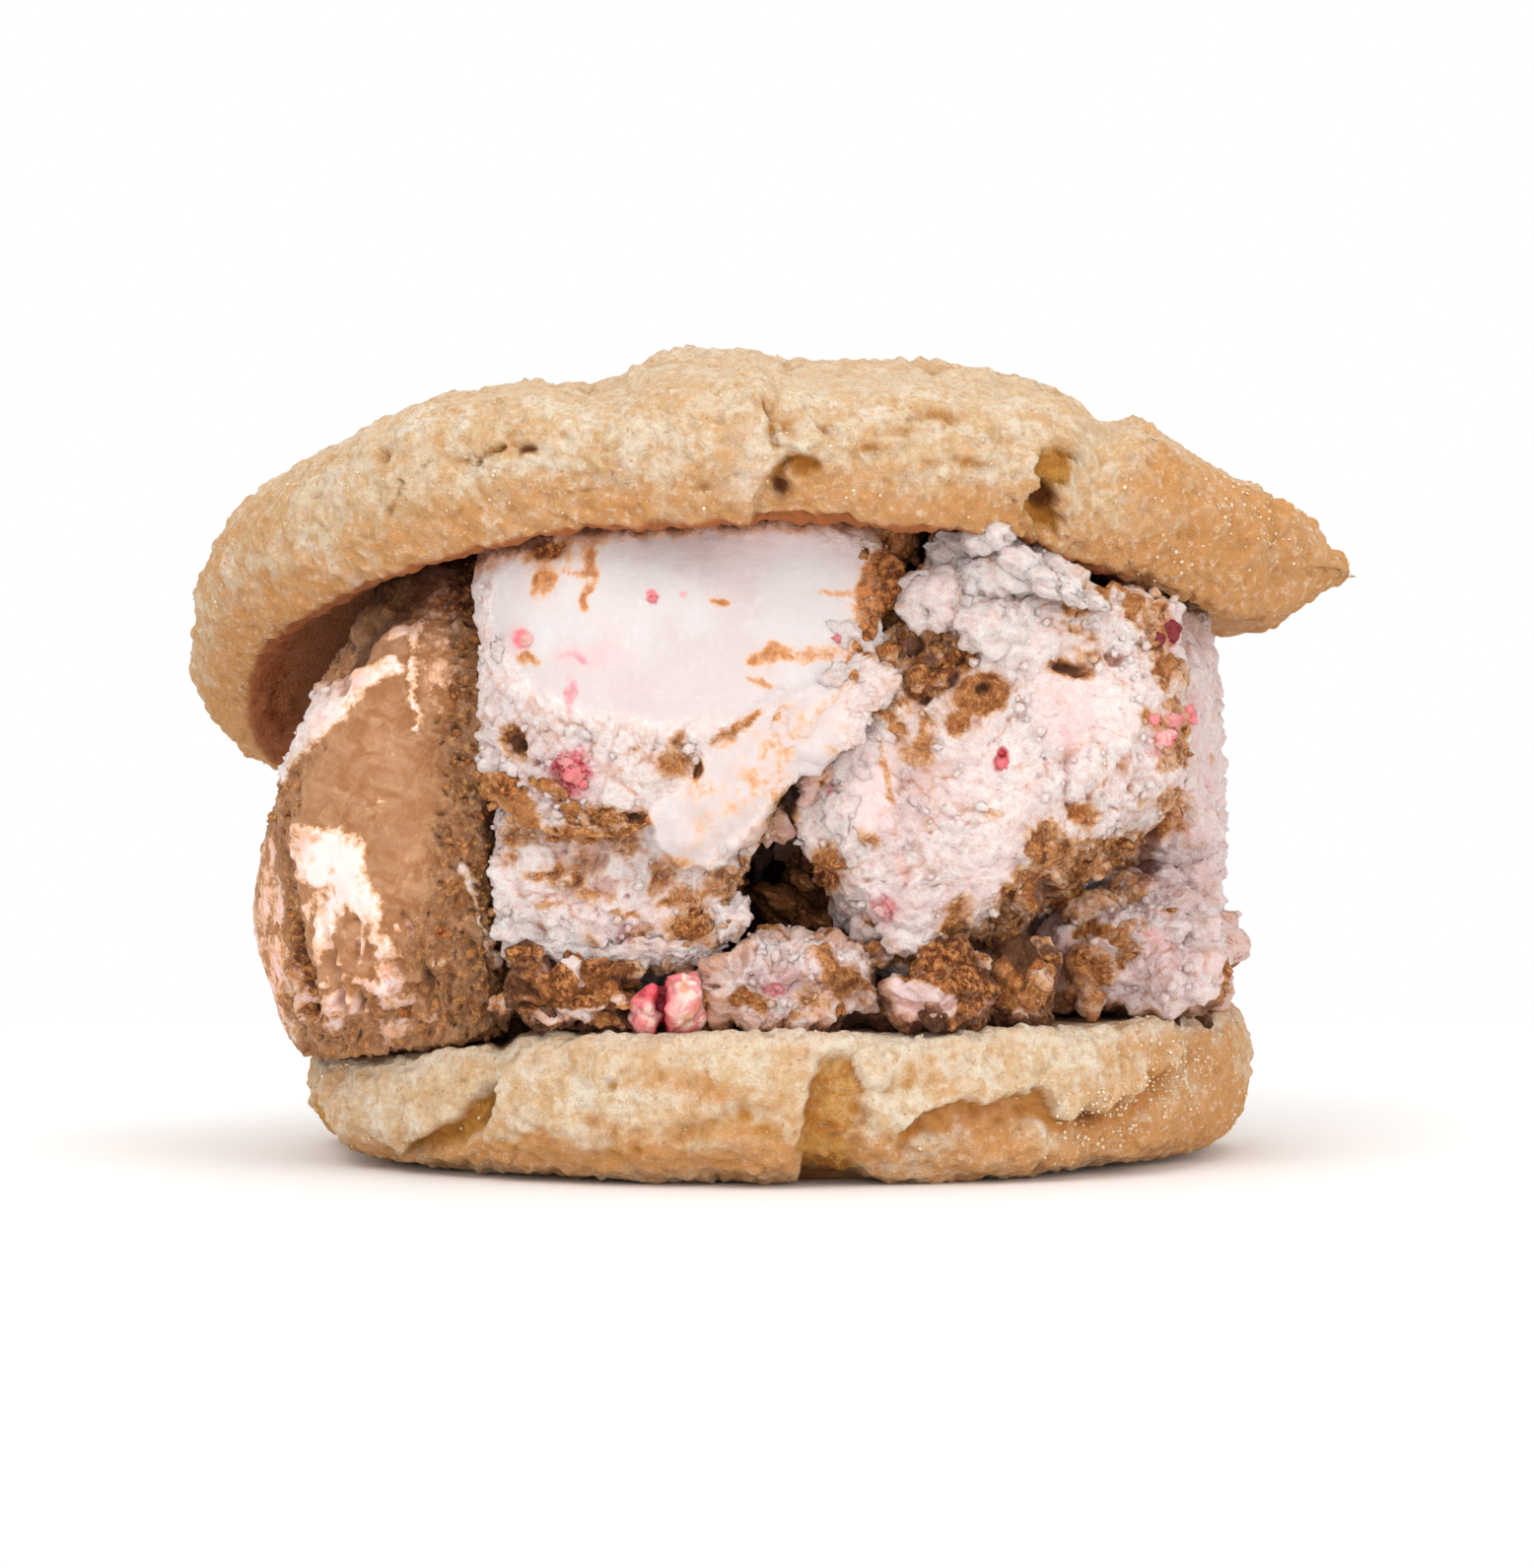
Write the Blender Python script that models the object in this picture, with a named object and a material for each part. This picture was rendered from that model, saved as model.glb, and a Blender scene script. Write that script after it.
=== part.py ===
"""Ice cream sandwich: two thick soft sugar cookies with several hard-pressed scoops of swirled ice cream.

The lower cookie lies flat side up and rests on its crown. The scoops stand on it, flattened against each other
and against the upper cookie, which has sagged over them into a lopsided dome. Loose lumps of ice cream and one
piece of red fruit sit in the cleft between the front scoops and the lower cookie.

Frame: +X right, +Y away from the viewer, +Z up, origin at the bottom centre of the whole. Sizes are in millimetres
here and become metres when the meshes are made.
"""

import math

import bmesh
import bpy
import numpy as np

MM = 0.001

# ---------------------------------------------------------------- driving sizes, mm
GAP = 0.45  # clearance kept between touching pieces
TOP_GAP = 0.8  # and under the domed cookie, whose facets dip a little
SHIFT = np.array([0.05, -0.35, 0.0])  # brings the whole onto its bottom centre

COOKIE_T = 11.5  # thickness of both cookies
TOP_RX, TOP_RY = 50.2, 45.0  # plan half-sizes of the bent upper cookie
TOP_CROWN_Z = 61.3  # mid-thickness height at the crown
TOP_DROP_LEFT, TOP_DROP_RIGHT, TOP_DROP_Y = 14.6, 12.4, 3.9
TOP_PLATE = 1.0  # step up to the raised plate of crust on the crown
LIFT = 0.7  # everything above the lower cookie is set up by this much, and that cookie is thicker by it
LOW_R = 40.9  # radius of the lower cookie
LOW_FLAT = 0.78  # share of the radius that is flat underneath
LOW_SAG_LEFT = 2.9  # how far the broken left end of the lower cookie sits down

TOP_SEGMENTS, LOW_SEGMENTS = 60, 56
SCOOP_RINGS, SCOOP_SEGMENTS = 20, 34
LUMP_RINGS, LUMP_SEGMENTS = 9, 14


def smooth(t):
    t = np.clip(t, 0.0, 1.0)
    return t * t * (3 - 2 * t)


def softmin(a, b, k):
    h = np.maximum(k - np.abs(a - b), 0.0) / k
    return np.minimum(a, b) - h * h * k * 0.25


# ---------------------------------------------------------------- upper cookie
def top_mid(x, y):
    """Height of the upper cookie's mid-surface: a dome that droops at its back left."""
    left = TOP_DROP_LEFT * (np.maximum(-x, 0.0) / 47.0) ** 2.4
    right = TOP_DROP_RIGHT * (softmin(np.maximum(x, 0.0), 44.5, 9.0) / 44.0) ** 2.4
    fore = TOP_DROP_Y * (y / 41.0) ** 2
    droop = 9.0 * smooth((-x + 4.0) / 52.0) * smooth((y + 14.0) / 44.0)
    # the right-hand piece has dropped along a crack that runs back from the front rim
    side = x - (23.5 + 0.22 * (y + 38.0))
    broken = 0.9 * smooth(side / 2.5 + 0.5) * smooth((6.0 - y) / 18.0) * smooth((46.0 - x) / 16.0)
    return TOP_CROWN_Z - left - right - fore - droop - broken


def top_normal(x, y):
    e = 0.25
    gx = (top_mid(x + e, y) - top_mid(x - e, y)) / (2 * e)
    gy = (top_mid(x, y + e) - top_mid(x, y - e)) / (2 * e)
    n = np.stack([-gx, -gy, np.ones_like(gx)], -1)
    return n / np.linalg.norm(n, axis=-1, keepdims=True)


def under_top(x, y):
    """Height of the upper cookie's flat underside."""
    return top_mid(x, y) - 0.5 * COOKIE_T / top_normal(x, y)[..., 2]


def notch(theta, at, width, depth):
    """A V-shaped crack in a rim, at one angle in degrees."""
    off = np.abs((np.degrees(theta) - at + 180.0) % 360.0 - 180.0)
    return depth * np.maximum(1.0 - off / width, 0.0)


def top_outline(theta):
    c, s = np.cos(theta), np.sin(theta)
    r = 1.0 / np.sqrt((c / TOP_RX) ** 2 + (s / TOP_RY) ** 2)
    # it bulges where it hangs down at the back left, and is a little short at the front left
    r = r + 4.2 * np.exp(-(((np.degrees(theta) % 360.0) - 151.0) / 24.0) ** 2) - 1.3 * np.exp(-(((np.degrees(theta) % 360.0) - 192.0) / 20.0) ** 2)
    r = r + 0.5 * np.sin(3 * theta + 0.6) + 0.45 * np.sin(5 * theta + 2.1) + 0.3 * np.sin(8 * theta + 0.4)
    r = r - notch(theta, -57.5, 3.6, 2.6) - notch(theta, -89.5, 2.6, 1.1) - notch(theta, 128.0, 3.0, 1.6)
    return r


# profiles: share of the radius, share of the half thickness (+1 crusty crown side, -1 flat baked side)
RIM = [(0.86, 0.93), (0.93, 0.80), (0.972, 0.58), (0.995, 0.26), (1.0, -0.12), (0.996, -0.55), (0.986, -0.86), (0.968, -1.0)]
TOP_PROFILE = [(0.0, 1.0), (0.28, 1.0), (0.53, 1.0), (0.73, 0.985)] + RIM + [(s, -1.0) for s in (0.83, 0.68, 0.53, 0.37, 0.19, 0.0)]
LOW_PROFILE = [(0.0, 1.0), (0.42, 1.0), (0.76, 1.0)] + RIM + [(s, -1.0) for s in (0.82, 0.66, 0.48, 0.26, 0.0)]


def disc_mesh(name, thetas, place, rings):
    """A closed cookie: rings from the crown's middle, over the rim, to the flat side's middle."""
    n = len(thetas)
    verts, faces = [], []
    verts.append(place(np.array([0.0]), np.array([0.0]), rings[0][1])[0])
    for share, t in rings[1:-1]:
        verts.extend(place(thetas, np.full(n, share), t))
    verts.append(place(np.array([0.0]), np.array([0.0]), rings[-1][1])[0])
    last = len(verts) - 1
    for i in range(n):
        j = (i + 1) % n
        faces.append((0, 1 + i, 1 + j))
        for k in range(len(rings) - 3):
            a, b = 1 + k * n, 1 + (k + 1) * n
            faces.append((a + i, b + i, b + j, a + j))
        a = 1 + (len(rings) - 3) * n
        faces.append((a + j, a + i, last))
    return make_object(name, verts, faces)


def make_object(name, verts, faces):
    mesh = bpy.data.meshes.new(name)
    up = 0.0 if name == "cookie_bottom" else LIFT
    pts = (np.asarray(verts, float) + SHIFT + np.array([0.0, 0.0, up])) * MM
    mesh.from_pydata([tuple(p) for p in pts], [], faces)
    bm = bmesh.new()
    bm.from_mesh(mesh)
    bmesh.ops.triangulate(bm, faces=bm.faces[:])
    bmesh.ops.recalc_face_normals(bm, faces=bm.faces[:])
    if bm.calc_volume(signed=True) < 0:
        bmesh.ops.reverse_faces(bm, faces=bm.faces[:])
    bm.to_mesh(mesh)
    bm.free()
    mesh.shade_smooth()
    mesh.set_sharp_from_angle(angle=math.radians(50))
    obj = bpy.data.objects.new(name, mesh)
    bpy.context.scene.collection.objects.link(obj)
    return obj


def place_top(theta, share, t):
    r = top_outline(theta) * share
    x, y = r * np.cos(theta), 1.0 + r * np.sin(theta)
    half = 0.5 * COOKIE_T * (1.0 - 0.34 * smooth((x - 40.0) / 9.0))  # thinner towards its right end
    # gentle unevenness of the baked crown, and the raised plate of crust in its middle
    lift = 0.35 * np.sin(0.21 * x + 1.1) * np.cos(0.19 * y + 0.4)
    lift = lift + TOP_PLATE * smooth((x + 12.0) / 3.5) * smooth((23.0 - x) / 9.0) * smooth((y + 36.0) / 14.0) * smooth((30.0 - y) / 12.0)
    n = top_normal(x, y)
    base = np.stack([x, y, top_mid(x, y)], -1)
    return base + n * (t * half + lift * max(t, 0.0))[..., None]


# ---------------------------------------------------------------- lower cookie
def low_outline(theta):
    r = LOW_R + 0.45 * np.sin(2 * theta + 1.9) + 0.4 * np.sin(5 * theta + 0.3) + 0.3 * np.sin(7 * theta + 1.2)
    r = r - notch(theta, -128.0, 3.4, 1.8) - notch(theta, -85.5, 2.8, 1.2)
    # the left end is broken off a little short
    return r - 1.4 * smooth((np.cos(theta + math.pi * 0.02) * -1.0 - 0.86) / 0.14)


def low_sag(x):
    return LOW_SAG_LEFT * smooth((-x - 12.0) / 26.0)


def low_top(x, y):
    """Height of the lower cookie's flat side, which faces up."""
    return COOKIE_T + 0.25 * smooth((x - 18.0) / 20.0) - low_sag(x)  # before LIFT


def place_low(theta, share, t):
    r = low_outline(theta) * share
    x, y = 0.3 + r * np.cos(theta), r * np.sin(theta)
    top = low_top(x, y) + LIFT
    up = 0.5 * (1.0 - t)  # crown side is down
    z = top * up
    if t > 0.99:
        z = np.zeros_like(x)
    return np.stack([x, y, z], -1)


# ---------------------------------------------------------------- ice cream
def plane(normal, through):
    n = np.array(normal, float)
    n = n / np.linalg.norm(n)
    return n, float(n @ np.array(through, float))


# planes that neighbours are pressed flat against; the first piece of each pair is on the side the normal leaves
LEFT_FRONT = plane((0.977, -0.211, 0.03), (-23.0, -34.0, 33.0))
FRONT_RIGHT = plane((0.9085, 0.0, -0.418), (4.5, -36.0, 35.0))
FRONT_REAR = plane((0.06, 1.0, 0.05), (-2.0, 3.0, 33.0))
LEFT_REAR = plane((0.889, 0.46, 0.0), (-15.0, 3.0, 33.0))
RIGHT_END = plane((0.917, 0.398, 0.0), (30.6, -20.0, 33.0))
END_REAR = plane((-0.985, 0.17, 0.0), (20.0, 6.0, 33.0))
FRONT_FOOT = plane((0.0, -0.287, -0.958), (0.0, -35.0, 17.3))
FRONT_HEEL = plane((0.50, -0.35, -0.79), (-4.5, -35.0, 17.5))
RIGHT_FOOT = plane((0.55, -0.25, -0.79), (13.5, -36.0, 18.5))
RIGHT_HEEL = plane((-0.66, -0.35, -0.665), (4.0, -36.0, 25.5))
END_FOOT = plane((0.0, -0.8, -0.6), (31.0, -14.0, 22.0))
LEFT_SIDE = plane((-0.952, 0.0, 0.306), (-43.2, 0.0, 24.0))
LEFT_SHOULDER = plane((-0.86, -0.1, 0.50), (-41.2, -10.0, 33.0))
SPLIT_A = plane((1.0, 0.0, 0.0), (-10.9, 0.0, 0.0))
SPLIT_B = plane((1.0, 0.0, 0.0), (-5.1, 0.0, 0.0))
SPLIT_C = plane((1.0, 0.0, 0.15), (8.9, 0.0, 15.0))
SPLIT_D = plane((1.0, 0.0, 0.0), (18.0, 0.0, 0.0))
SPLIT_E = plane((1.0, 0.45, 0.0), (22.4, -30.0, 0.0))

# name: centre, half-sizes (-x, +x, -y, +y, -z, +z), squareness, lumpiness, planes it stays behind (+1) or beyond (-1)
SCOOPS = {
    "scoop_left": ((-25.0, -6.0, 26.0), (18.6, 19.0, 25.5, 29.0, 25.0, 27.0), 2.6, 0.022, ((LEFT_FRONT, 1), (LEFT_REAR, 1), (LEFT_SIDE, 1), (LEFT_SHOULDER, 1))),
    "scoop_front": ((-8.0, -16.0, 34.0), (19.0, 28.0, 21.5, 26.0, 24.0, 29.0), 2.8, 0.020,
                    ((LEFT_FRONT, -1), (FRONT_RIGHT, 1), (FRONT_REAR, 1), (FRONT_FOOT, 1), (FRONT_HEEL, 1))),
    "scoop_right": ((18.0, -15.0, 33.0), (24.0, 18.5, 21.5, 26.0, 24.0, 27.0), 2.8, 0.022,
                    ((FRONT_RIGHT, -1), (FRONT_REAR, 1), (RIGHT_END, 1), (RIGHT_FOOT, 1), (RIGHT_HEEL, 1))),
    "scoop_end": ((28.5, 1.0, 29.0), (17.0, 10.8, 21.0, 27.0, 22.0, 25.0), 2.8, 0.022,
                  ((RIGHT_END, -1), (END_REAR, -2), (END_FOOT, 1))),
    "scoop_rear": ((0.0, 20.0, 30.0), (28.0, 26.0, 24.0, 18.5, 23.0, 27.0), 2.6, 0.022,
                   ((FRONT_REAR, -1), (LEFT_REAR, -1), (END_REAR, 2))),
}
LUMPS = {
    "lump_swirl": ((-14.7, -32.6, 14.4), (5.4, 5.0, 3.9, 5.0, 2.8, 2.9), 2.8, 0.05, ((FRONT_FOOT, -1), (SPLIT_A, 1))),
    "fruit_piece": ((-8.0, -34.9, 14.0), (3.2, 3.2, 2.4, 3.0, 2.4, 2.6), 2.4, 0.04,
                    ((FRONT_FOOT, -1), (FRONT_HEEL, -1), (SPLIT_A, -1), (SPLIT_B, 1))),
    "lump_middle": ((2.2, -32.4, 15.2), (8.0, 7.6, 4.6, 6.0, 3.6, 3.9), 2.8, 0.05,
                    ((FRONT_HEEL, -1), (SPLIT_B, -1), (SPLIT_C, 1), (RIGHT_HEEL, -1))),
    "lump_curl": ((13.3, -33.4, 14.6), (5.0, 5.2, 3.8, 5.0, 3.0, 3.2), 2.7, 0.05, ((RIGHT_FOOT, -1), (SPLIT_C, -1), (SPLIT_D, 1))),
    "lump_small": ((20.2, -31.0, 15.2), (2.6, 3.0, 3.0, 3.6, 3.4, 3.6), 2.6, 0.05,
                   ((RIGHT_FOOT, -1), (SPLIT_D, -1), (SPLIT_E, 1))),
    "lump_end": ((31.0, -15.5, 17.0), (8.8, 8.0, 9.0, 9.0, 6.0, 5.6), 2.7, 0.05,
                 ((RIGHT_FOOT, -1), (END_FOOT, -1), (SPLIT_E, -1))),
}


def lumpiness(d, seed, amount):
    """Rule-made unevenness of a scoop over the directions d."""
    x, y, z = d[..., 0], d[..., 1], d[..., 2]
    s = seed * 1.37
    f = (
        np.sin(5.1 * x + 3.2 * z + s) * np.cos(4.3 * y - 2.2 * z + 2 * s)
        + 0.7 * np.sin(8.3 * z + 4.1 * y + 1.7 * s) * np.cos(7.1 * x - 3.0 * y + 0.6 * s)
        + 0.5 * np.sin(12.5 * x + 1.1 * s) * np.sin(11.2 * z + 9.0 * y + 2.3 * s)
    )
    return 1.0 + amount * f


def radius_of(spec, d, seed):
    centre, half, p, amount, planes = spec
    c = np.array(centre)
    x, y, z = d[..., 0], d[..., 1], d[..., 2]
    ax = np.where(x < 0, half[0], half[1])
    ay = np.where(y < 0, half[2], half[3])
    az = np.where(z < 0, half[4], half[5])
    r = (np.abs(x / ax) ** p + np.abs(y / ay) ** p + np.abs(z / az) ** p) ** (-1.0 / p)
    r = r * lumpiness(d, seed, amount)
    k = 0.16 * min(half)
    for (n, off), side in planes:
        sign = 1.0 if side in (1, -2) else -1.0
        m, o = n * sign, off * sign - 0.5 * GAP
        dn = d @ m
        reach = np.where(dn > 1e-4, (o - m @ c) / np.maximum(dn, 1e-4), 1e3)
        r = softmin(r, reach, k)
    return r


def between_cookies(spec, d, r):
    """Cuts the rays short where they would enter a cookie."""
    c = np.array(spec[0])

    def free(t):
        p = c + d * t[..., None]
        x, y, z = p[..., 0], p[..., 1], p[..., 2]
        return (z < under_top(x, y) - TOP_GAP) & (z > low_top(x, y) + GAP)

    lo, hi = np.zeros_like(r), r.copy()
    blocked = ~free(hi)
    for _ in range(26):
        mid = 0.5 * (lo + hi)
        ok = free(mid)
        lo = np.where(blocked & ok, mid, lo)
        hi = np.where(blocked & ~ok, mid, hi)
    return np.where(blocked, lo, r)


def scoop_mesh(name, spec, seed, rings, segments):
    c = np.array(spec[0])
    polar = [math.pi * i / rings for i in range(1, rings)]
    dirs = [(0.0, 0.0, 1.0)]
    for a in polar:
        for j in range(segments):
            b = 2 * math.pi * j / segments
            dirs.append((math.sin(a) * math.cos(b), math.sin(a) * math.sin(b), math.cos(a)))
    dirs.append((0.0, 0.0, -1.0))
    d = np.array(dirs)
    r = between_cookies(spec, d, radius_of(spec, d, seed))
    verts = c + d * r[:, None]
    faces, last = [], len(dirs) - 1
    for i in range(segments):
        j = (i + 1) % segments
        faces.append((0, 1 + i, 1 + j))
        for k in range(rings - 2):
            a, b = 1 + k * segments, 1 + (k + 1) * segments
            faces.append((a + i, b + i, b + j, a + j))
        a = 1 + (rings - 2) * segments
        faces.append((a + j, a + i, last))
    return make_object(name, verts, faces)


def material(name, colour, roughness):
    m = bpy.data.materials.new(name)
    m.use_nodes = True
    b = m.node_tree.nodes["Principled BSDF"]
    b.inputs["Base Color"].default_value = (*colour, 1.0)
    b.inputs["Roughness"].default_value = roughness
    b.inputs["Metallic"].default_value = 0.0
    return m


def main():
    for o in list(bpy.data.objects):
        bpy.data.objects.remove(o)

    baked = material("baked_cookie", (0.72, 0.47, 0.24), 0.85)
    cream = material("pale_ice_cream", (0.86, 0.74, 0.71), 0.6)
    brown = material("cocoa_ice_cream", (0.47, 0.26, 0.14), 0.6)
    caramel = material("caramel_lump", (0.36, 0.18, 0.09), 0.5)
    fruit = material("red_fruit", (0.55, 0.07, 0.08), 0.4)

    def even(n, extra=()):
        t = [2 * math.pi * i / n for i in range(n)]
        for degrees in extra:  # finer steps where a crack meets the rim
            t += [math.radians(degrees % 360.0)]
        return np.array(sorted(set(round(v, 5) for v in t)))

    top = disc_mesh("cookie_top", even(TOP_SEGMENTS, (-61.1, -57.5, -55.6, -92.0, -89.5, -87.0, 127.9, 130.6)), place_top, TOP_PROFILE)
    low = disc_mesh("cookie_bottom", even(LOW_SEGMENTS, (-131.4, -127.4, -124.6, -88.3, -85.5)), place_low, LOW_PROFILE)
    top.data.materials.append(baked)
    low.data.materials.append(baked)

    for i, (name, spec) in enumerate(SCOOPS.items()):
        o = scoop_mesh(name, spec, i + 1, SCOOP_RINGS, SCOOP_SEGMENTS)
        o.data.materials.append(brown if name == "scoop_left" else cream)
    for i, (name, spec) in enumerate(LUMPS.items()):
        o = scoop_mesh(name, spec, i + 11, LUMP_RINGS, LUMP_SEGMENTS)
        look = {"lump_swirl": caramel, "lump_curl": caramel, "lump_small": caramel, "fruit_piece": fruit}.get(name, cream)
        o.data.materials.append(look)


main()
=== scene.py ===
"""Looks of the ice cream sandwich: fine meshes with torn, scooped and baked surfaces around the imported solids."""

import math

import bpy
import numpy as np
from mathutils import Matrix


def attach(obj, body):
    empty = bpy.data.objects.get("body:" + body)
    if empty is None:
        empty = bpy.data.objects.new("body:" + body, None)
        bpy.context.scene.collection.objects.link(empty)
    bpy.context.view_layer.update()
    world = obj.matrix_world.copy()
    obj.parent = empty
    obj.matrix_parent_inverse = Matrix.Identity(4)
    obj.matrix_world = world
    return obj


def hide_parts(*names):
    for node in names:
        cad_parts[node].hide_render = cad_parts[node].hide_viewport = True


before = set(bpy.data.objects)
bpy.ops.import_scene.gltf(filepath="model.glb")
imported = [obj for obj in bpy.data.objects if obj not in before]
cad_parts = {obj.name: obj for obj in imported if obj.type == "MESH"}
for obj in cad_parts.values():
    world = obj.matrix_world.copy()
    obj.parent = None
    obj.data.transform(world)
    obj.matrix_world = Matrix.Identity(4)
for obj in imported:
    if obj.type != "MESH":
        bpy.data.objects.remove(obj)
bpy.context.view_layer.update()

MM = 0.001
GAP, TOP_GAP, LIFT = 0.45, 0.8, 0.7
SHIFT = np.array([0.05, -0.35, 0.0])
RISE = np.array([0.0, 0.0, LIFT])
COOKIE_T = 11.5
EYE = np.array([0.05, -380.35, 31.9])  # the camera, mm
STEP = 0.000227  # size of one drawing unit at a distance of 1

# =====================================================================================
# number helpers


def smooth(t):
    t = np.clip(t, 0.0, 1.0)
    return t * t * (3 - 2 * t)


def softmin(a, b, k):
    h = np.maximum(k - np.abs(a - b), 0.0) / k
    return np.minimum(a, b) - h * h * k * 0.25


RNG = np.random.default_rng(11)
GRADS = RNG.normal(size=(256, 3))
GRADS /= np.linalg.norm(GRADS, axis=1)[:, None]
PERM = np.concatenate([RNG.permutation(256)] * 3).astype(np.int64)
SPOTS = RNG.random((256, 3))


def perlin(p, size, salt=0):
    """Gradient noise, about -1 to 1, with features of that size in mm."""
    if np.ndim(size) == 0:
        size = (size, size, size)
    q = p / np.array(size, float) + (salt * 7.31 + 0.5)
    i = np.floor(q).astype(np.int64)
    f = q - i
    u = f * f * f * (f * (f * 6 - 15) + 10)
    i = (i + salt * 17) & 255
    out = np.zeros(len(p))
    for dx in (0, 1):
        hx = PERM[(i[:, 0] + dx) & 255]
        wx = u[:, 0] if dx else 1 - u[:, 0]
        for dy in (0, 1):
            hy = PERM[hx + ((i[:, 1] + dy) & 255)]
            wy = wx * (u[:, 1] if dy else 1 - u[:, 1])
            for dz in (0, 1):
                g = GRADS[PERM[hy + ((i[:, 2] + dz) & 255)]]
                w = wy * (u[:, 2] if dz else 1 - u[:, 2])
                out += w * ((f[:, 0] - dx) * g[:, 0] + (f[:, 1] - dy) * g[:, 1] + (f[:, 2] - dz) * g[:, 2])
    return out * 1.7


def fbm(p, size, octaves=3, salt=0, gain=0.5):
    out, amp = 0.0, 1.0
    for k in range(octaves):
        out = out + amp * perlin(p, size / 2**k, salt + k)
        amp *= gain
    return out


def push(p, size, amount, salt):
    """The points, pushed about by noise, so that what is laid out on them has no straight edges."""
    return p + amount * np.stack([perlin(p, size, salt + k) for k in range(3)], 1)


def cells(p, size, salt=0):
    """Distances to the nearest and second nearest scattered spots, in cells, and the nearest one's own number."""
    q = p / size + salt * 3.77
    i = np.floor(q).astype(np.int64)
    f = q - i
    i = (i + salt * 29) & 255
    near, second, own = np.full(len(p), 9.0), np.full(len(p), 9.0), np.zeros(len(p))
    for dx in (-1, 0, 1):
        hx = PERM[(i[:, 0] + dx) & 255]
        for dy in (-1, 0, 1):
            hy = PERM[hx + ((i[:, 1] + dy) & 255)]
            for dz in (-1, 0, 1):
                h = PERM[hy + ((i[:, 2] + dz) & 255)]
                o = SPOTS[h]
                d = np.sqrt((dx + o[:, 0] - f[:, 0]) ** 2 + (dy + o[:, 1] - f[:, 1]) ** 2 + (dz + o[:, 2] - f[:, 2]) ** 2)
                closer = d < near
                second = np.where(closer, near, np.minimum(second, d))
                own = np.where(closer, h / 255.0, own)
                near = np.where(closer, d, near)
    return near, second, own


class Sight:
    """Where points are as seen from the front, in drawing units: 778, 795.5 is straight ahead, y runs down."""

    def __init__(self, p, wobble=0.0, salt=50):
        d = p[:, 1] - EYE[1]
        self.x = 778 + (p[:, 0] - EYE[0]) / (STEP * d)
        self.y = 795.5 - (p[:, 2] - EYE[2]) / (STEP * d)
        if wobble:
            self.x = self.x + wobble * (perlin(p, 2.2, salt) + 0.6 * perlin(p, 0.8, salt + 1))
            self.y = self.y + wobble * (perlin(p, 2.2, salt + 2) + 0.6 * perlin(p, 0.8, salt + 3))

    def blob(self, x, y, rx, ry=None, turn=0.0, edge=1.0):
        ry = rx if ry is None else ry
        c, s = math.cos(math.radians(turn)), math.sin(math.radians(turn))
        dx, dy = self.x - x, self.y - y
        d = np.hypot((dx * c + dy * s) / rx, (dy * c - dx * s) / ry)
        return smooth((1 + edge / 2 - d) / edge)

    def dome(self, x, y, rx, ry=None, turn=0.0):
        ry = rx if ry is None else ry
        c, s = math.cos(math.radians(turn)), math.sin(math.radians(turn))
        dx, dy = self.x - x, self.y - y
        d2 = ((dx * c + dy * s) / rx) ** 2 + ((dy * c - dx * s) / ry) ** 2
        return np.sqrt(np.maximum(1 - d2, 0.0))

    def stroke(self, points, edge=1.0):
        """A line through points (x, y, half width)."""
        best = np.zeros(len(self.x))
        for (x0, y0, w0), (x1, y1, w1) in zip(points, points[1:]):
            ax, ay = x1 - x0, y1 - y0
            t = np.clip(((self.x - x0) * ax + (self.y - y0) * ay) / (ax * ax + ay * ay), 0, 1)
            d = np.hypot(self.x - x0 - t * ax, self.y - y0 - t * ay) / (w0 + (w1 - w0) * t)
            best = np.maximum(best, smooth((1 + edge / 2 - d) / edge))
        return best

    def below(self, points):
        xs, ys = zip(*points)
        return self.y - np.interp(self.x, xs, ys)

    def right_of(self, points):
        xs, ys = zip(*points)
        return self.x - np.interp(self.y, ys, xs)


# =====================================================================================
# meshes


def join_rings(counts, close_first=True, close_last=True):
    """Triangles between rings of points. A ring has as many points as the one before, half or double."""
    starts = np.concatenate([[0], np.cumsum(counts)])
    out = []
    for k in range(len(counts) - 1):
        n, m, a, b = counts[k], counts[k + 1], starts[k], starts[k + 1]
        if n == 1:
            i = np.arange(m)
            out.append(np.stack([np.full(m, a), b + i, b + (i + 1) % m], 1))
        elif m == 1:
            i = np.arange(n)
            out.append(np.stack([a + (i + 1) % n, a + i, np.full(n, b)], 1))
        elif n == m:
            i = np.arange(n)
            j = (i + 1) % n
            out.append(np.stack([a + i, b + i, b + j], 1))
            out.append(np.stack([a + i, b + j, a + j], 1))
        elif m == 2 * n:
            i = np.arange(n)
            j = (i + 1) % n
            out.append(np.stack([a + i, b + 2 * i, b + 2 * i + 1], 1))
            out.append(np.stack([a + i, b + 2 * i + 1, a + j], 1))
            out.append(np.stack([a + j, b + 2 * i + 1, b + (2 * i + 2) % m], 1))
        else:
            i = np.arange(m)
            j = (i + 1) % m
            out.append(np.stack([b + i, a + 2 * i + 1, a + 2 * i], 1))
            out.append(np.stack([b + i, b + j, a + 2 * i + 1], 1))
            out.append(np.stack([b + j, a + (2 * i + 2) % n, a + 2 * i + 1], 1))
    return np.concatenate(out)


def normals_of(p, tris):
    a, b, c = p[tris[:, 0]], p[tris[:, 1]], p[tris[:, 2]]
    fn = np.cross(b - a, c - a)
    n = np.zeros_like(p)
    for k in range(3):
        for axis in range(3):
            n[:, axis] += np.bincount(tris[:, k], weights=fn[:, axis], minlength=len(p))
    return n / np.maximum(np.linalg.norm(n, axis=1), 1e-12)[:, None]


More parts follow.
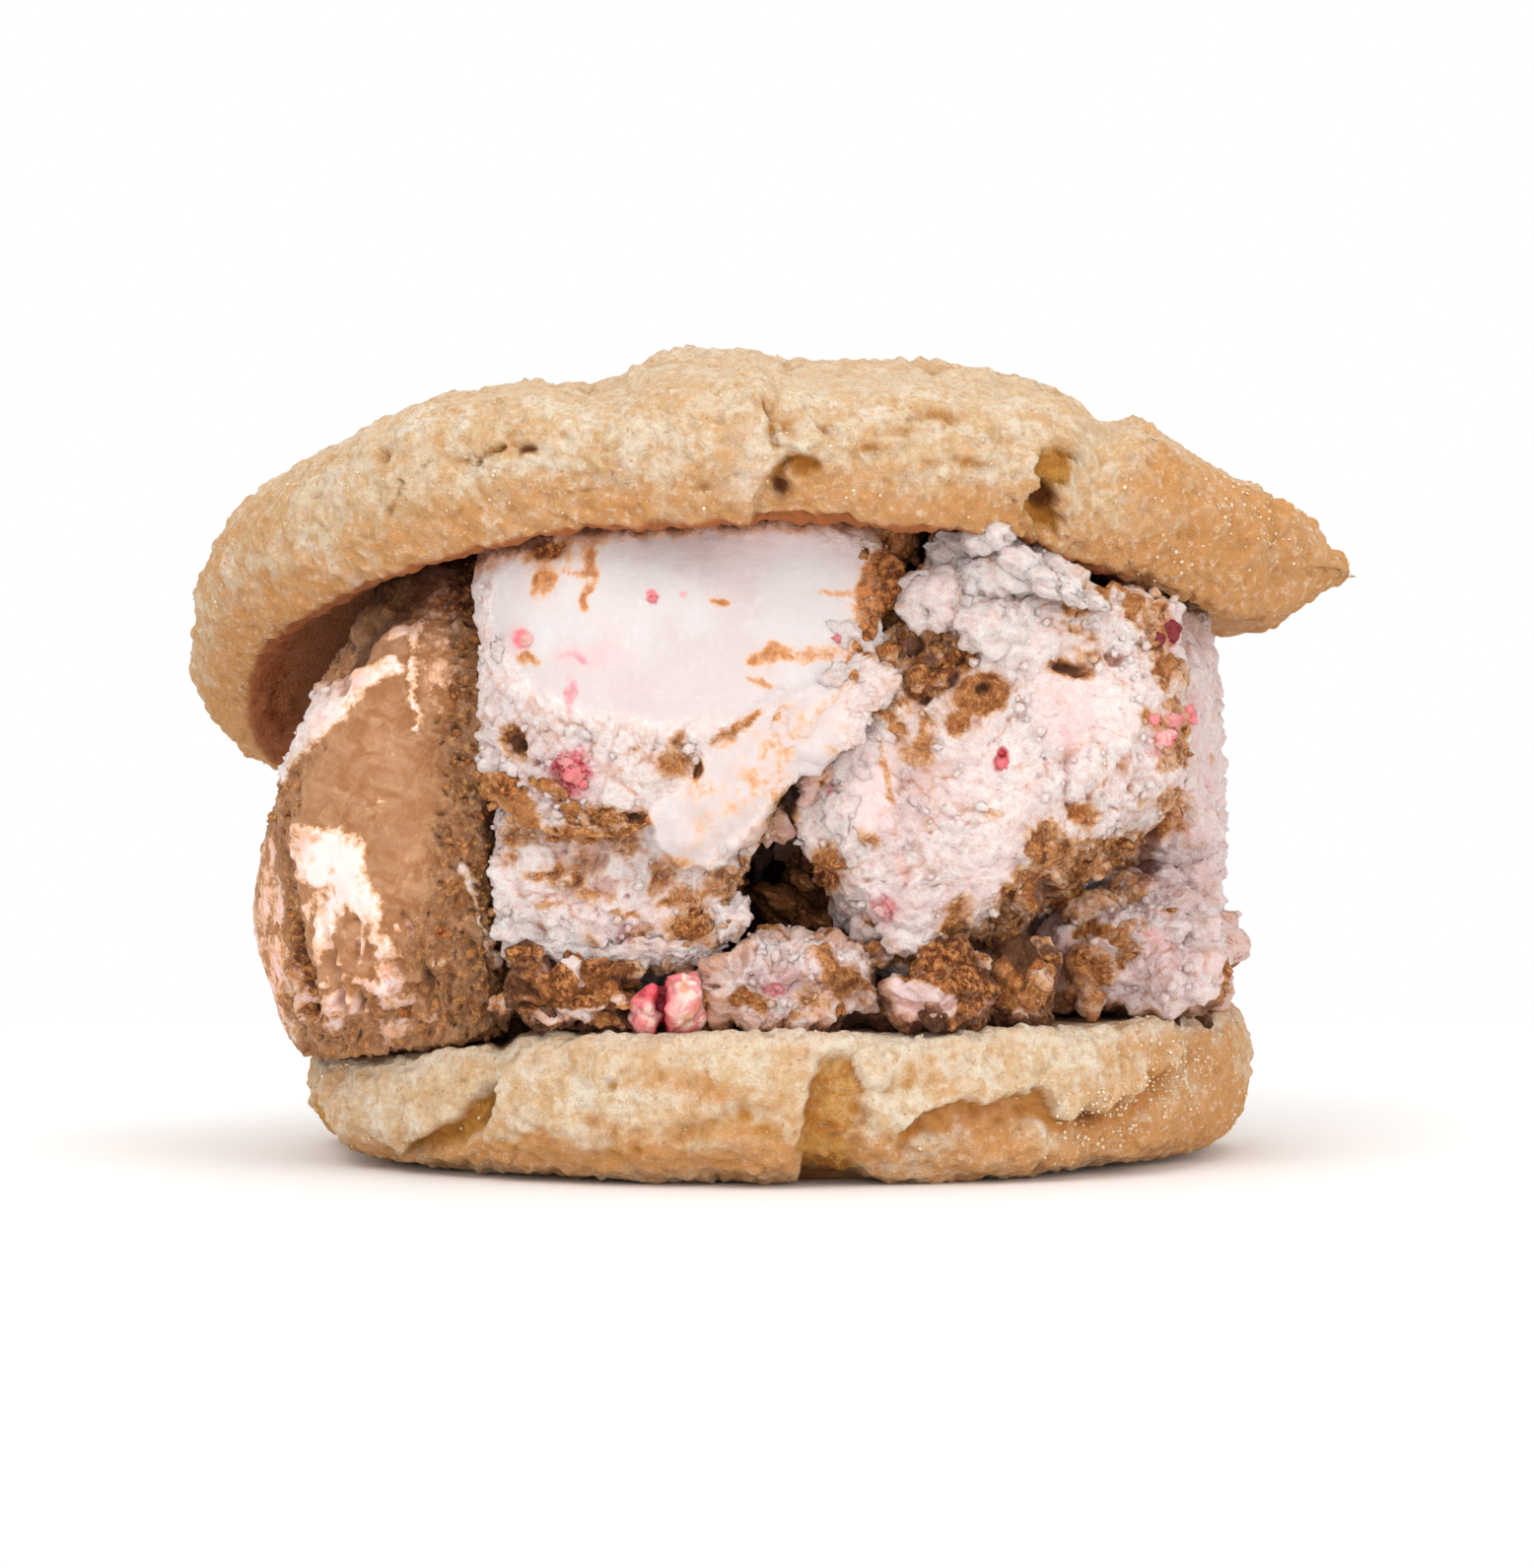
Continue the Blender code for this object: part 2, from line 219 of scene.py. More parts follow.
def spread(values, tris, rounds):
    """The values, averaged with their neighbours' over and over, so that a patch gets a soft surround."""
    e = np.concatenate([tris[:, [0, 1]], tris[:, [1, 2]], tris[:, [2, 0]]])
    a, b = np.concatenate([e[:, 0], e[:, 1]]), np.concatenate([e[:, 1], e[:, 0]])
    size = len(values)
    n = np.maximum(np.bincount(a, minlength=size), 1)
    for _ in range(rounds):
        values = 0.35 * values + 0.65 * np.bincount(a, weights=values[b], minlength=size) / n
    return values


def outward(p, tris):
    a, b, c = p[tris[:, 0]], p[tris[:, 1]], p[tris[:, 2]]
    if np.einsum("ij,ij->i", a, np.cross(b, c)).sum() < 0:
        tris = tris[:, ::-1].copy()
    return tris


def make_piece(name, p, tris, material, nodes=(), tint=None, form=None):
    """A mesh object in the row frame from points in mm. tint and form are looks kept at its points."""
    mesh = bpy.data.meshes.new(name)
    mesh.vertices.add(len(p))
    mesh.vertices.foreach_set("co", (p * MM).astype(np.float32).ravel())
    mesh.loops.add(len(tris) * 3)
    mesh.loops.foreach_set("vertex_index", tris.astype(np.int32).ravel())
    mesh.polygons.add(len(tris))
    mesh.polygons.foreach_set("loop_start", np.arange(0, len(tris) * 3, 3, dtype=np.int32))
    mesh.polygons.foreach_set("use_smooth", np.ones(len(tris), bool))
    mesh.update()
    mesh.validate()
    for label, values in (("tint", tint), ("form", form)):
        if values is not None:
            full = np.ones((len(p), 4), np.float32)
            full[:, :3] = np.clip(values, 0.0, 1.0)
            layer = mesh.attributes.new(label, "FLOAT_COLOR", "POINT")
            layer.data.foreach_set("color", full.ravel())
    mesh.materials.append(material)
    obj = bpy.data.objects.new(name, mesh)
    bpy.context.scene.collection.objects.link(obj)
    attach(obj, "root")
    for node in nodes:
        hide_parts(node)
    return obj


def ring_count(want, last, base=6):
    k = max(0, int(round(math.log2(max(want, 1.0) / base))))
    n = base * 2**k
    return n if last is None else min(max(n, last // 2), last * 2)


def ball_grid(facing, fine, coarse, reach):
    """Directions over a sphere, fine steps (degrees) within reach of facing, coarse behind."""
    f = np.array(facing, float)
    f /= np.linalg.norm(f)
    up = np.array([0.0, 0.0, 1.0])
    e1 = np.cross(f, up)
    e1 /= np.linalg.norm(e1)
    e2 = np.cross(e1, f)
    dirs, counts, a, last = [f[None]], [1], 0.0, None
    while True:
        step = fine + (coarse - fine) * float(smooth((a - reach) / 35.0))
        a += step
        if a > 180.0 - 0.6 * step:
            break
        r = math.radians(a)
        n = ring_count(2 * math.pi * math.sin(r) / math.radians(step), last)
        last = n
        t = np.arange(n) * 2 * math.pi / n
        dirs.append(math.cos(r) * f + math.sin(r) * (np.cos(t)[:, None] * e1 + np.sin(t)[:, None] * e2))
        counts.append(n)
    while counts[-1] > 12:
        a = 180.0 - 0.5 * (180.0 - a)
        r = math.radians(a)
        n = counts[-1] // 2
        t = np.arange(n) * 2 * math.pi / n
        dirs.append(math.cos(r) * f + math.sin(r) * (np.cos(t)[:, None] * e1 + np.sin(t)[:, None] * e2))
        counts.append(n)
    dirs.append(-f[None])
    counts.append(1)
    return np.concatenate(dirs), join_rings(counts)


# =====================================================================================
# base shapes, the same rules as the solids

TOP_RX, TOP_RY, TOP_CROWN_Z = 50.2, 45.0, 61.3
TOP_DROP_LEFT, TOP_DROP_RIGHT, TOP_DROP_Y, TOP_PLATE = 14.6, 12.4, 3.9, 1.0
LOW_R, LOW_SAG_LEFT = 40.9, 2.9


def top_flow(x, y):
    left = TOP_DROP_LEFT * (np.maximum(-x, 0.0) / 47.0) ** 2.4
    right = TOP_DROP_RIGHT * (softmin(np.maximum(x, 0.0), 44.5, 9.0) / 44.0) ** 2.4
    fore = TOP_DROP_Y * (y / 41.0) ** 2
    droop = 9.0 * smooth((-x + 4.0) / 52.0) * smooth((y + 14.0) / 44.0)
    return TOP_CROWN_Z - left - right - fore - droop


def top_mid(x, y):
    side = x - (23.5 + 0.22 * (y + 38.0))
    broken = 0.9 * smooth(side / 2.5 + 0.5) * smooth((6.0 - y) / 18.0) * smooth((46.0 - x) / 16.0)
    return top_flow(x, y) - broken


def top_normal(x, y):
    e = 0.25
    gx = (top_flow(x + e, y) - top_flow(x - e, y)) / (2 * e)
    gy = (top_flow(x, y + e) - top_flow(x, y - e)) / (2 * e)
    n = np.stack([-gx, -gy, np.ones_like(gx)], -1)
    return n / np.linalg.norm(n, axis=-1, keepdims=True)


def under_top(x, y):
    return top_mid(x, y) - 0.5 * COOKIE_T / top_normal(x, y)[..., 2]


def notch(theta, at, width, depth):
    off = np.abs((np.degrees(theta) - at + 180.0) % 360.0 - 180.0)
    return depth * np.maximum(1.0 - off / width, 0.0)


def top_outline(theta):
    c, s = np.cos(theta), np.sin(theta)
    r = 1.0 / np.sqrt((c / TOP_RX) ** 2 + (s / TOP_RY) ** 2)
    deg = np.degrees(theta) % 360.0
    r = r + 4.2 * np.exp(-(((deg - 151.0) / 24.0) ** 2)) - 1.3 * np.exp(-(((deg - 192.0) / 20.0) ** 2))
    r = r + 0.5 * np.sin(3 * theta + 0.6) + 0.45 * np.sin(5 * theta + 2.1) + 0.3 * np.sin(8 * theta + 0.4)
    return r - notch(theta, 128.0, 3.0, 1.6)


def place_top(theta, share, t):
    r = top_outline(theta) * share
    x, y = r * np.cos(theta), 1.0 + r * np.sin(theta)
    half = 0.5 * COOKIE_T * (1.0 - 0.34 * smooth((x - 40.0) / 9.0))
    lift = 0.35 * np.sin(0.21 * x + 1.1) * np.cos(0.19 * y + 0.4)
    lift = lift + TOP_PLATE * smooth((x + 12.0) / 3.5) * smooth((23.0 - x) / 9.0) * smooth((y + 36.0) / 14.0) * smooth((30.0 - y) / 12.0)
    n = top_normal(x, y)
    base = np.stack([x, y, top_mid(x, y)], -1)
    return base + n * (t * half + lift * np.maximum(t, 0.0))[..., None] + SHIFT + RISE


def low_outline(theta):
    r = LOW_R + 0.45 * np.sin(2 * theta + 1.9) + 0.4 * np.sin(5 * theta + 0.3) + 0.3 * np.sin(7 * theta + 1.2)
    return r - 1.4 * smooth((np.cos(theta + math.pi * 0.02) * -1.0 - 0.86) / 0.14)


def low_sag(x):
    return LOW_SAG_LEFT * smooth((-x - 12.0) / 26.0)


def low_top(x, y):
    return COOKIE_T + 0.25 * smooth((x - 18.0) / 20.0) - low_sag(x)


def place_low(theta, share, t):
    r = low_outline(theta) * share
    x, y = 0.3 + r * np.cos(theta), r * np.sin(theta)
    top = low_top(x, y) + LIFT
    return np.stack([x, y, top * 0.5 * (1.0 - t)], -1) + SHIFT


def plane(normal, through):
    n = np.array(normal, float)
    n = n / np.linalg.norm(n)
    return n, float(n @ np.array(through, float))


LEFT_FRONT = plane((0.977, -0.211, 0.03), (-23.0, -34.0, 33.0))
FRONT_RIGHT = plane((0.9085, 0.0, -0.418), (4.5, -36.0, 35.0))
FRONT_REAR = plane((0.06, 1.0, 0.05), (-2.0, 3.0, 33.0))
LEFT_REAR = plane((0.889, 0.46, 0.0), (-15.0, 3.0, 33.0))
RIGHT_END = plane((0.917, 0.398, 0.0), (30.6, -20.0, 33.0))
END_REAR = plane((-0.985, 0.17, 0.0), (20.0, 6.0, 33.0))
FRONT_FOOT = plane((0.0, -0.287, -0.958), (0.0, -35.0, 17.3))
FRONT_HEEL = plane((0.50, -0.35, -0.79), (-4.5, -35.0, 17.5))
RIGHT_FOOT = plane((0.55, -0.25, -0.79), (13.5, -36.0, 18.5))
RIGHT_HEEL = plane((-0.66, -0.35, -0.665), (4.0, -36.0, 25.5))
END_FOOT = plane((0.0, -0.8, -0.6), (31.0, -14.0, 22.0))
LEFT_SIDE = plane((-0.952, 0.0, 0.306), (-43.2, 0.0, 24.0))
LEFT_SHOULDER = plane((-0.86, -0.1, 0.50), (-41.2, -10.0, 33.0))
SPLIT_A = plane((1.0, 0.0, 0.0), (-10.9, 0.0, 0.0))
SPLIT_B = plane((1.0, 0.0, 0.0), (-5.1, 0.0, 0.0))
SPLIT_C = plane((1.0, 0.0, 0.15), (8.9, 0.0, 15.0))
SPLIT_D = plane((1.0, 0.0, 0.0), (18.0, 0.0, 0.0))
SPLIT_E = plane((1.0, 0.45, 0.0), (22.4, -30.0, 0.0))

# centre, half-sizes (-x, +x, -y, +y, -z, +z), squareness, lumpiness, planes it stays behind (+1) or beyond (-1)
SHAPES = {
    "scoop_left": ((-25.0, -6.0, 26.0), (18.6, 19.0, 25.5, 29.0, 25.0, 27.0), 2.6, 0.022, ((LEFT_FRONT, 1), (LEFT_REAR, 1), (LEFT_SIDE, 1), (LEFT_SHOULDER, 1))),
    "scoop_front": ((-8.0, -16.0, 34.0), (19.0, 28.0, 21.5, 26.0, 24.0, 29.0), 2.8, 0.020, ((LEFT_FRONT, -1), (FRONT_RIGHT, 1), (FRONT_REAR, 1), (FRONT_FOOT, 1), (FRONT_HEEL, 1))),
    "scoop_right": ((18.0, -15.0, 33.0), (24.0, 18.5, 21.5, 26.0, 24.0, 27.0), 2.8, 0.022, ((FRONT_RIGHT, -1), (FRONT_REAR, 1), (RIGHT_END, 1), (RIGHT_FOOT, 1), (RIGHT_HEEL, 1))),
    "scoop_end": ((28.5, 1.0, 29.0), (17.0, 10.8, 21.0, 27.0, 22.0, 25.0), 2.8, 0.022, ((RIGHT_END, -1), (END_REAR, -2), (END_FOOT, 1))),
    "scoop_rear": ((0.0, 20.0, 30.0), (28.0, 26.0, 24.0, 18.5, 23.0, 27.0), 2.6, 0.022, ((FRONT_REAR, -1), (LEFT_REAR, -1), (END_REAR, 2))),
    "lump_swirl": ((-14.7, -32.6, 14.4), (5.4, 5.0, 3.9, 5.0, 2.8, 2.9), 2.8, 0.05, ((FRONT_FOOT, -1), (SPLIT_A, 1))),
    "fruit_piece": ((-8.0, -34.9, 14.0), (3.2, 3.2, 2.4, 3.0, 2.4, 2.6), 2.4, 0.04, ((FRONT_FOOT, -1), (FRONT_HEEL, -1), (SPLIT_A, -1), (SPLIT_B, 1))),
    "lump_middle": ((2.2, -32.4, 15.2), (8.0, 7.6, 4.6, 6.0, 3.6, 3.9), 2.8, 0.05, ((FRONT_HEEL, -1), (SPLIT_B, -1), (SPLIT_C, 1), (RIGHT_HEEL, -1))),
    "lump_curl": ((13.3, -33.4, 14.6), (5.0, 5.2, 3.8, 5.0, 3.0, 3.2), 2.7, 0.05, ((RIGHT_FOOT, -1), (SPLIT_C, -1), (SPLIT_D, 1))),
    "lump_small": ((20.2, -31.0, 15.2), (2.6, 3.0, 3.0, 3.6, 3.4, 3.6), 2.6, 0.05, ((RIGHT_FOOT, -1), (SPLIT_D, -1), (SPLIT_E, 1))),
    "lump_end": ((31.0, -15.5, 17.0), (8.8, 8.0, 9.0, 9.0, 6.0, 5.6), 2.7, 0.05, ((RIGHT_FOOT, -1), (END_FOOT, -1), (SPLIT_E, -1))),
}
SEEDS = {name: (i + 1 if name.startswith("scoop") else i + 6) for i, name in enumerate(SHAPES)}


def lumpiness(d, seed, amount):
    x, y, z = d[..., 0], d[..., 1], d[..., 2]
    s = seed * 1.37
    f = (
        np.sin(5.1 * x + 3.2 * z + s) * np.cos(4.3 * y - 2.2 * z + 2 * s)
        + 0.7 * np.sin(8.3 * z + 4.1 * y + 1.7 * s) * np.cos(7.1 * x - 3.0 * y + 0.6 * s)
        + 0.5 * np.sin(12.5 * x + 1.1 * s) * np.sin(11.2 * z + 9.0 * y + 2.3 * s)
    )
    return 1.0 + amount * f


def base_of(name, d, tight=1.0):
    """The solid's own surface along directions d. tight below 1 makes its pressed edges sharper."""
    centre, half, p, amount, planes = SHAPES[name]
    c = np.array(centre)
    x, y, z = d[:, 0], d[:, 1], d[:, 2]
    ax = np.where(x < 0, half[0], half[1])
    ay = np.where(y < 0, half[2], half[3])
    az = np.where(z < 0, half[4], half[5])
    r = (np.abs(x / ax) ** p + np.abs(y / ay) ** p + np.abs(z / az) ** p) ** (-1.0 / p)
    r = r * lumpiness(d, SEEDS[name], amount)
    k = 0.16 * min(half) * tight
    for (n, off), side in planes:
        sign = 1.0 if side in (1, -2) else -1.0
        m, o = n * sign, off * sign - 0.5 * GAP
        dn = d @ m
        reach = np.where(dn > 1e-4, (o - m @ c) / np.maximum(dn, 1e-4), 1e3)
        r = softmin(r, reach, k)

    def free(t):
        q = c + d * t[:, None]
        return (q[:, 2] < under_top(q[:, 0], q[:, 1]) - 0.3) & (q[:, 2] > low_top(q[:, 0], q[:, 1]) + 0.2)

    lo, hi = np.zeros_like(r), r.copy()
    blocked = ~free(hi)
    for _ in range(18):
        mid = 0.5 * (lo + hi)
        ok = free(mid)
        lo = np.where(blocked & ok, mid, lo)
        hi = np.where(blocked & ~ok, mid, hi)
    r = np.where(blocked, lo, r)
    return c + d * r[:, None] + SHIFT + RISE


# =====================================================================================
# materials


def lin(r, g, b):
    out = []
    for v in (r, g, b):
        v = v / 255.0
        out.append(v / 12.92 if v <= 0.04045 else ((v + 0.055) / 1.055) ** 2.4)
    return (*out, 1.0)


class Looks:
    """A few words for writing node trees."""

    def __init__(self, name):
        self.m = bpy.data.materials.new(name)
        self.m.use_nodes = True
        self.t = self.m.node_tree
        self.b = self.t.nodes["Principled BSDF"]
        self.where = self.t.nodes.new("ShaderNodeTexCoord").outputs["Object"]

    def new(self, kind, **props):
        n = self.t.nodes.new(kind)
        for k, v in props.items():
            setattr(n, k, v)
        return n

    def plug(self, value, socket):
        if hasattr(value, "node"):
            self.t.links.new(value, socket)
        else:
            socket.default_value = value

    def noise(self, mm, detail=3.0, rough=0.55, distort=0.0, where=None):
        n = self.new("ShaderNodeTexNoise")
        self.plug(self.where if where is None else where, n.inputs["Vector"])
        n.inputs["Scale"].default_value = 1000.0 / mm
        n.inputs["Detail"].default_value = detail
        n.inputs["Roughness"].default_value = rough
        n.inputs["Distortion"].default_value = distort
        return n.outputs["Fac"]

    def spots(self, mm, feature="F1", where=None):
        n = self.new("ShaderNodeTexVoronoi", feature=feature)
        self.plug(self.where if where is None else where, n.inputs["Vector"])
        n.inputs["Scale"].default_value = 1000.0 / mm
        return n.outputs["Distance"], (n.outputs["Color"] if feature != "DISTANCE_TO_EDGE" else None)

    def stretch(self, x, y, z, turn=(0.0, 0.0, 0.0)):
        n = self.new("ShaderNodeMapping")
        self.plug(self.where, n.inputs["Vector"])
        n.inputs["Scale"].default_value = (x, y, z)
        n.inputs["Rotation"].default_value = turn
        return n.outputs["Vector"]

    def attribute(self, name):
        a = self.new("ShaderNodeAttribute", attribute_name=name)
        s = self.new("ShaderNodeSeparateColor")
        self.plug(a.outputs["Color"], s.inputs[0])
        return s.outputs[0], s.outputs[1], s.outputs[2]

    def math(self, op, a, b=0.0, c=0.0, clamp=False):
        n = self.new("ShaderNodeMath", operation=op, use_clamp=clamp)
        self.plug(a, n.inputs[0])
        self.plug(b, n.inputs[1])
        self.plug(c, n.inputs[2])
        return n.outputs[0]

    def span(self, value, low, high, to_low=0.0, to_high=1.0):
        n = self.new("ShaderNodeMapRange", interpolation_type="SMOOTHSTEP")
        self.plug(value, n.inputs["Value"])
        n.inputs["From Min"].default_value = low
        n.inputs["From Max"].default_value = high
        n.inputs["To Min"].default_value = to_low
        n.inputs["To Max"].default_value = to_high
        return n.outputs["Result"]

    def mix(self, fac, a, b, blend="MIX"):
        n = self.new("ShaderNodeMix", data_type="RGBA", blend_type=blend, clamp_factor=True)
        self.plug(fac, n.inputs[0])
        self.plug(a, n.inputs[6])
        self.plug(b, n.inputs[7])
        return n.outputs[2]

    def bump(self, height, mm, strength=1.0, after=None):
        n = self.new("ShaderNodeBump")
        n.inputs["Strength"].default_value = strength
        n.inputs["Distance"].default_value = mm * MM
        self.plug(height, n.inputs["Height"])
        if after is not None:
            self.plug(after, n.inputs["Normal"])
        return n.outputs["Normal"]

    def finish(self, colour, rough, normal=None, specular=0.4, soft=0.0, reach=(1.0, 0.5, 0.3), scale=1.0):
        self.plug(colour, self.b.inputs["Base Color"])
        self.plug(rough, self.b.inputs["Roughness"])
        self.b.inputs["Metallic"].default_value = 0.0
        self.b.inputs["Specular IOR Level"].default_value = specular
        if soft:
            self.b.inputs["Subsurface Weight"].default_value = soft
            self.b.inputs["Subsurface Radius"].default_value = reach
            self.b.inputs["Subsurface Scale"].default_value = scale * MM
        if normal is not None:
            self.plug(normal, self.b.inputs["Normal"])
        return self.m


def cookie_looks():
    """Soft sugar cookie: pale crumb, golden where it browned and where shade is painted, amber inside its cracks,
    painted shade in holes and underneath, fine grain.
    """
    k = Looks("sugar_cookie_crumb")
    amber, gold_and_shade, crust = k.attribute("tint")
    pit, pale, shade = k.attribute("form")
    wide = k.noise(9.0, 4.0, 0.6)
    mid = k.noise(2.6, 5.0, 0.68, 0.5)
    grain = k.noise(0.66, 5.0, 0.7)
    tiny = k.noise(0.22, 2.0, 0.6)
    base = k.mix(k.span(mid, 0.40, 0.58), lin(239, 225, 203), lin(228, 199, 160))
    base = k.mix(k.span(wide, 0.42, 0.60, 0.0, 0.5), base, lin(226, 190, 146))
    golden = k.math("ADD", gold_and_shade, k.math("MULTIPLY", k.math("SUBTRACT", mid, 0.5), 1.3))
    base = k.mix(k.span(golden, 0.05, 1.0, 0.0, 0.9), base, lin(215, 152, 88))
    base = k.mix(k.math("MULTIPLY", crust, k.span(grain, 0.3, 0.7, 0.35, 0.7)), base, lin(230, 199, 164))
    base = k.mix(k.math("MULTIPLY", pale, 0.7), base, lin(246, 232, 213))
    base = k.mix(k.span(grain, 0.50, 0.36, 0.0, 0.45), base, lin(204, 148, 92))
    base = k.mix(k.span(grain, 0.53, 0.66, 0.0, 0.5), base, lin(248, 234, 214))
    edge = k.math("ADD", amber, k.math("MULTIPLY", k.math("SUBTRACT", grain, 0.5), 0.9))
    edge = k.math("ADD", edge, k.math("MULTIPLY", k.math("SUBTRACT", mid, 0.5), 0.6))
    base = k.mix(k.span(edge, 0.18, 0.95), base, k.mix(k.span(mid, 0.42, 0.6), lin(204, 148, 68), lin(180, 116, 46)))
    # painted shade: holes and deep cracks (pit) go dark brown
    base = k.mix(k.span(pit, 0.2, 0.95), base, lin(104, 52, 20))
    base = k.mix(shade, base, lin(172, 98, 54))
    near, tone = k.spots(1.5)
    fleck = k.span(near, 0.13, 0.07)
    base = k.mix(k.math("MULTIPLY", fleck, 0.55), base, lin(198, 122, 68))
    height = k.math("ADD", k.math("MULTIPLY", grain, 1.0), k.math("MULTIPLY", tiny, 0.7))
    normal = k.bump(height, 0.60, 1.0)
    rough = k.span(grain, 0.3, 0.7, 0.72, 0.92)
    return k.finish(base, rough, normal, 0.20, 0.22, (1.4, 0.9, 0.5), 1.0)


def cream_looks(name, striped=False):
    """Ice cream: pale with pink washes, berry stains, brown swirls; brown and pink are kept at the points. Painted
    highlights and shade follow the grain, and painted shade darkens pits and crevices.
    """
    k = Looks(name)
    brown, pink, berry = k.attribute("tint")
    pit, torn, tone = k.attribute("form")
    wide = k.noise(6.0, 3.0, 0.55)
    mid = k.noise(1.9, 5.0, 0.68, 0.6)
    grain = k.noise(0.6, 5.0, 0.7)
    tiny = k.noise(0.17, 2.0, 0.6)
    rugged = k.math("ADD", k.math("MULTIPLY", k.math("SUBTRACT", grain, 0.5), 1.5), k.math("MULTIPLY", k.math("SUBTRACT", mid, 0.5), 1.7))
    white = k.mix(k.span(wide, 0.4, 0.62), lin(240, 226, 222), lin(236, 216, 210)) if striped else k.mix(k.span(wide, 0.4, 0.62), lin(212, 206, 206), lin(209, 197, 196))
    white = k.mix(k.span(torn, 0.05, 0.7), white, lin(248, 234, 230))
    white = k.mix(k.math("MULTIPLY", torn, k.span(mid, 0.49, 0.64, 0.0, 0.6)), white, lin(240, 206, 196))
    wash = k.noise(3.6, 4.0, 0.62, 0.7)
    white = k.mix(k.math("MULTIPLY", torn, k.span(wash, 0.55, 0.68, 0.0, 0.62)), white, lin(227, 184, 160))
    # painted shade in the grain's hollows and painted highlight on its high points, where it is torn
    white = k.mix(k.math("MULTIPLY", torn, k.span(grain, 0.48, 0.36, 0.0, 0.6)), white, lin(230, 191, 179))
    white = k.mix(k.math("MULTIPLY", k.span(torn, 0.0, 0.5, 0.06, 1.0), k.span(grain, 0.52, 0.64, 0.0, 0.7)), white, lin(253, 247, 245))
    rosy = k.math("MULTIPLY", pink, k.math("ADD", 1.0, k.math("MULTIPLY", rugged, 0.8)))
    white = k.mix(k.math("MULTIPLY", rosy, 0.72), white, lin(232, 184, 186))
    colour_mark = k.math("MULTIPLY", berry, k.math("ADD", 1.0, k.math("MULTIPLY", rugged, 1.6)))
    white = k.mix(k.span(colour_mark, 0.10, 0.62), white, lin(232, 140, 146))
    white = k.mix(k.span(colour_mark, 0.62, 1.15), white, lin(190, 48, 62))
    light = k.mix(k.span(mid, 0.38, 0.60), lin(186, 140, 104), lin(158, 106, 64)) if striped else k.mix(k.span(mid, 0.38, 0.60), lin(204, 140, 82), lin(166, 94, 44))
    light = k.mix(k.span(wide, 0.44, 0.60, 0.0, 0.5), light, lin(174, 128, 92) if striped else lin(190, 130, 80))
    deep = k.mix(k.span(grain, 0.42, 0.58), lin(98, 48, 20), lin(190, 118, 58))
    # tone: darker chocolate, and painted shade where the masks raise it
    cocoa = k.mix(k.span(k.math("ADD", tone, k.math("MULTIPLY", rugged, 0.55)), 0.20, 0.70), light, deep)
    # painted highlight on the chocolate's high grains and painted shade in its hollows, where torn
    cocoa = k.mix(k.math("MULTIPLY", torn, k.span(grain, 0.52, 0.63, 0.0, 0.8)), cocoa, lin(230, 172, 112))
    cocoa = k.mix(k.math("MULTIPLY", torn, k.span(grain, 0.44, 0.34, 0.0, 0.7)), cocoa, lin(84, 44, 22))
    edge = k.math("ADD", brown, k.math("MULTIPLY", rugged, k.span(brown, 0.02, 0.35, 0.10, 1.0)))
    white = k.mix(k.span(edge, 0.06, 0.50, 0.0, 0.85), white, lin(226, 174, 128))
    if striped:
        stained = k.span(edge, 0.42, 0.72)
    else:
        loose = k.span(torn, 0.08, 0.5)
        crisp = k.math("MULTIPLY", k.span(edge, 0.40, 0.80), loose)
        faded = k.math("MULTIPLY", k.span(edge, 0.22, 1.02), k.math("SUBTRACT", 1.0, loose))
        stained = k.math("ADD", crisp, faded)
    # painted shade: a warm pink in the pits and crevices of pale ice cream
    white = k.mix(k.math("MULTIPLY", k.span(pit, 0.03, 0.40, 0.0, 0.62), k.span(torn, 0.1, 0.6)), white, lin(230, 180, 163))
    base = k.mix(stained, white, cocoa)
    # painted shade: pits, crevices and the strip under the cookie go dark
    base = k.mix(k.span(pit, 0.15, 1.0, 0.0, 0.86), base, k.mix(brown, lin(180, 124, 104), lin(64, 34, 18)))
    height = k.math("ADD", k.math("MULTIPLY", grain, k.span(torn, 0.0, 1.0, 0.14, 1.2)), k.math("MULTIPLY", tiny, k.span(torn, 0.0, 1.0, 0.10, 0.70)))
    normal = k.bump(height, 0.52, 1.0)
    if striped:
        n = k.new("ShaderNodeTexWave", wave_type="RINGS", rings_direction="SPHERICAL", wave_profile="SIN")
        m = k.new("ShaderNodeMapping")
        k.plug(k.where, m.inputs["Vector"])
        m.inputs["Location"].default_value = (0.020, 0.02, -0.058)
        k.plug(m.outputs["Vector"], n.inputs["Vector"])
        n.inputs["Scale"].default_value = 420.0
        n.inputs["Distortion"].default_value = 2.2
        n.inputs["Detail"].default_value = 2.0
        n.inputs["Detail Scale"].default_value = 0.6
        calm = k.span(torn, 0.1, 0.5, 1.0, 0.0)
        calm = k.math("MULTIPLY", calm, k.span(brown, 0.5, 0.9))
        base = k.mix(k.math("MULTIPLY", k.math("MULTIPLY", n.outputs["Fac"], calm), 0.16), base, lin(140, 98, 76))
        normal = k.bump(k.math("MULTIPLY", n.outputs["Fac"], calm), 0.05, 0.6, normal)
    rough = k.span(grain, 0.35, 0.65, 0.82, 0.45)
    return k.finish(base, rough, normal, 0.28, 0.36, (1.0, 0.90, 0.86), 1.0)


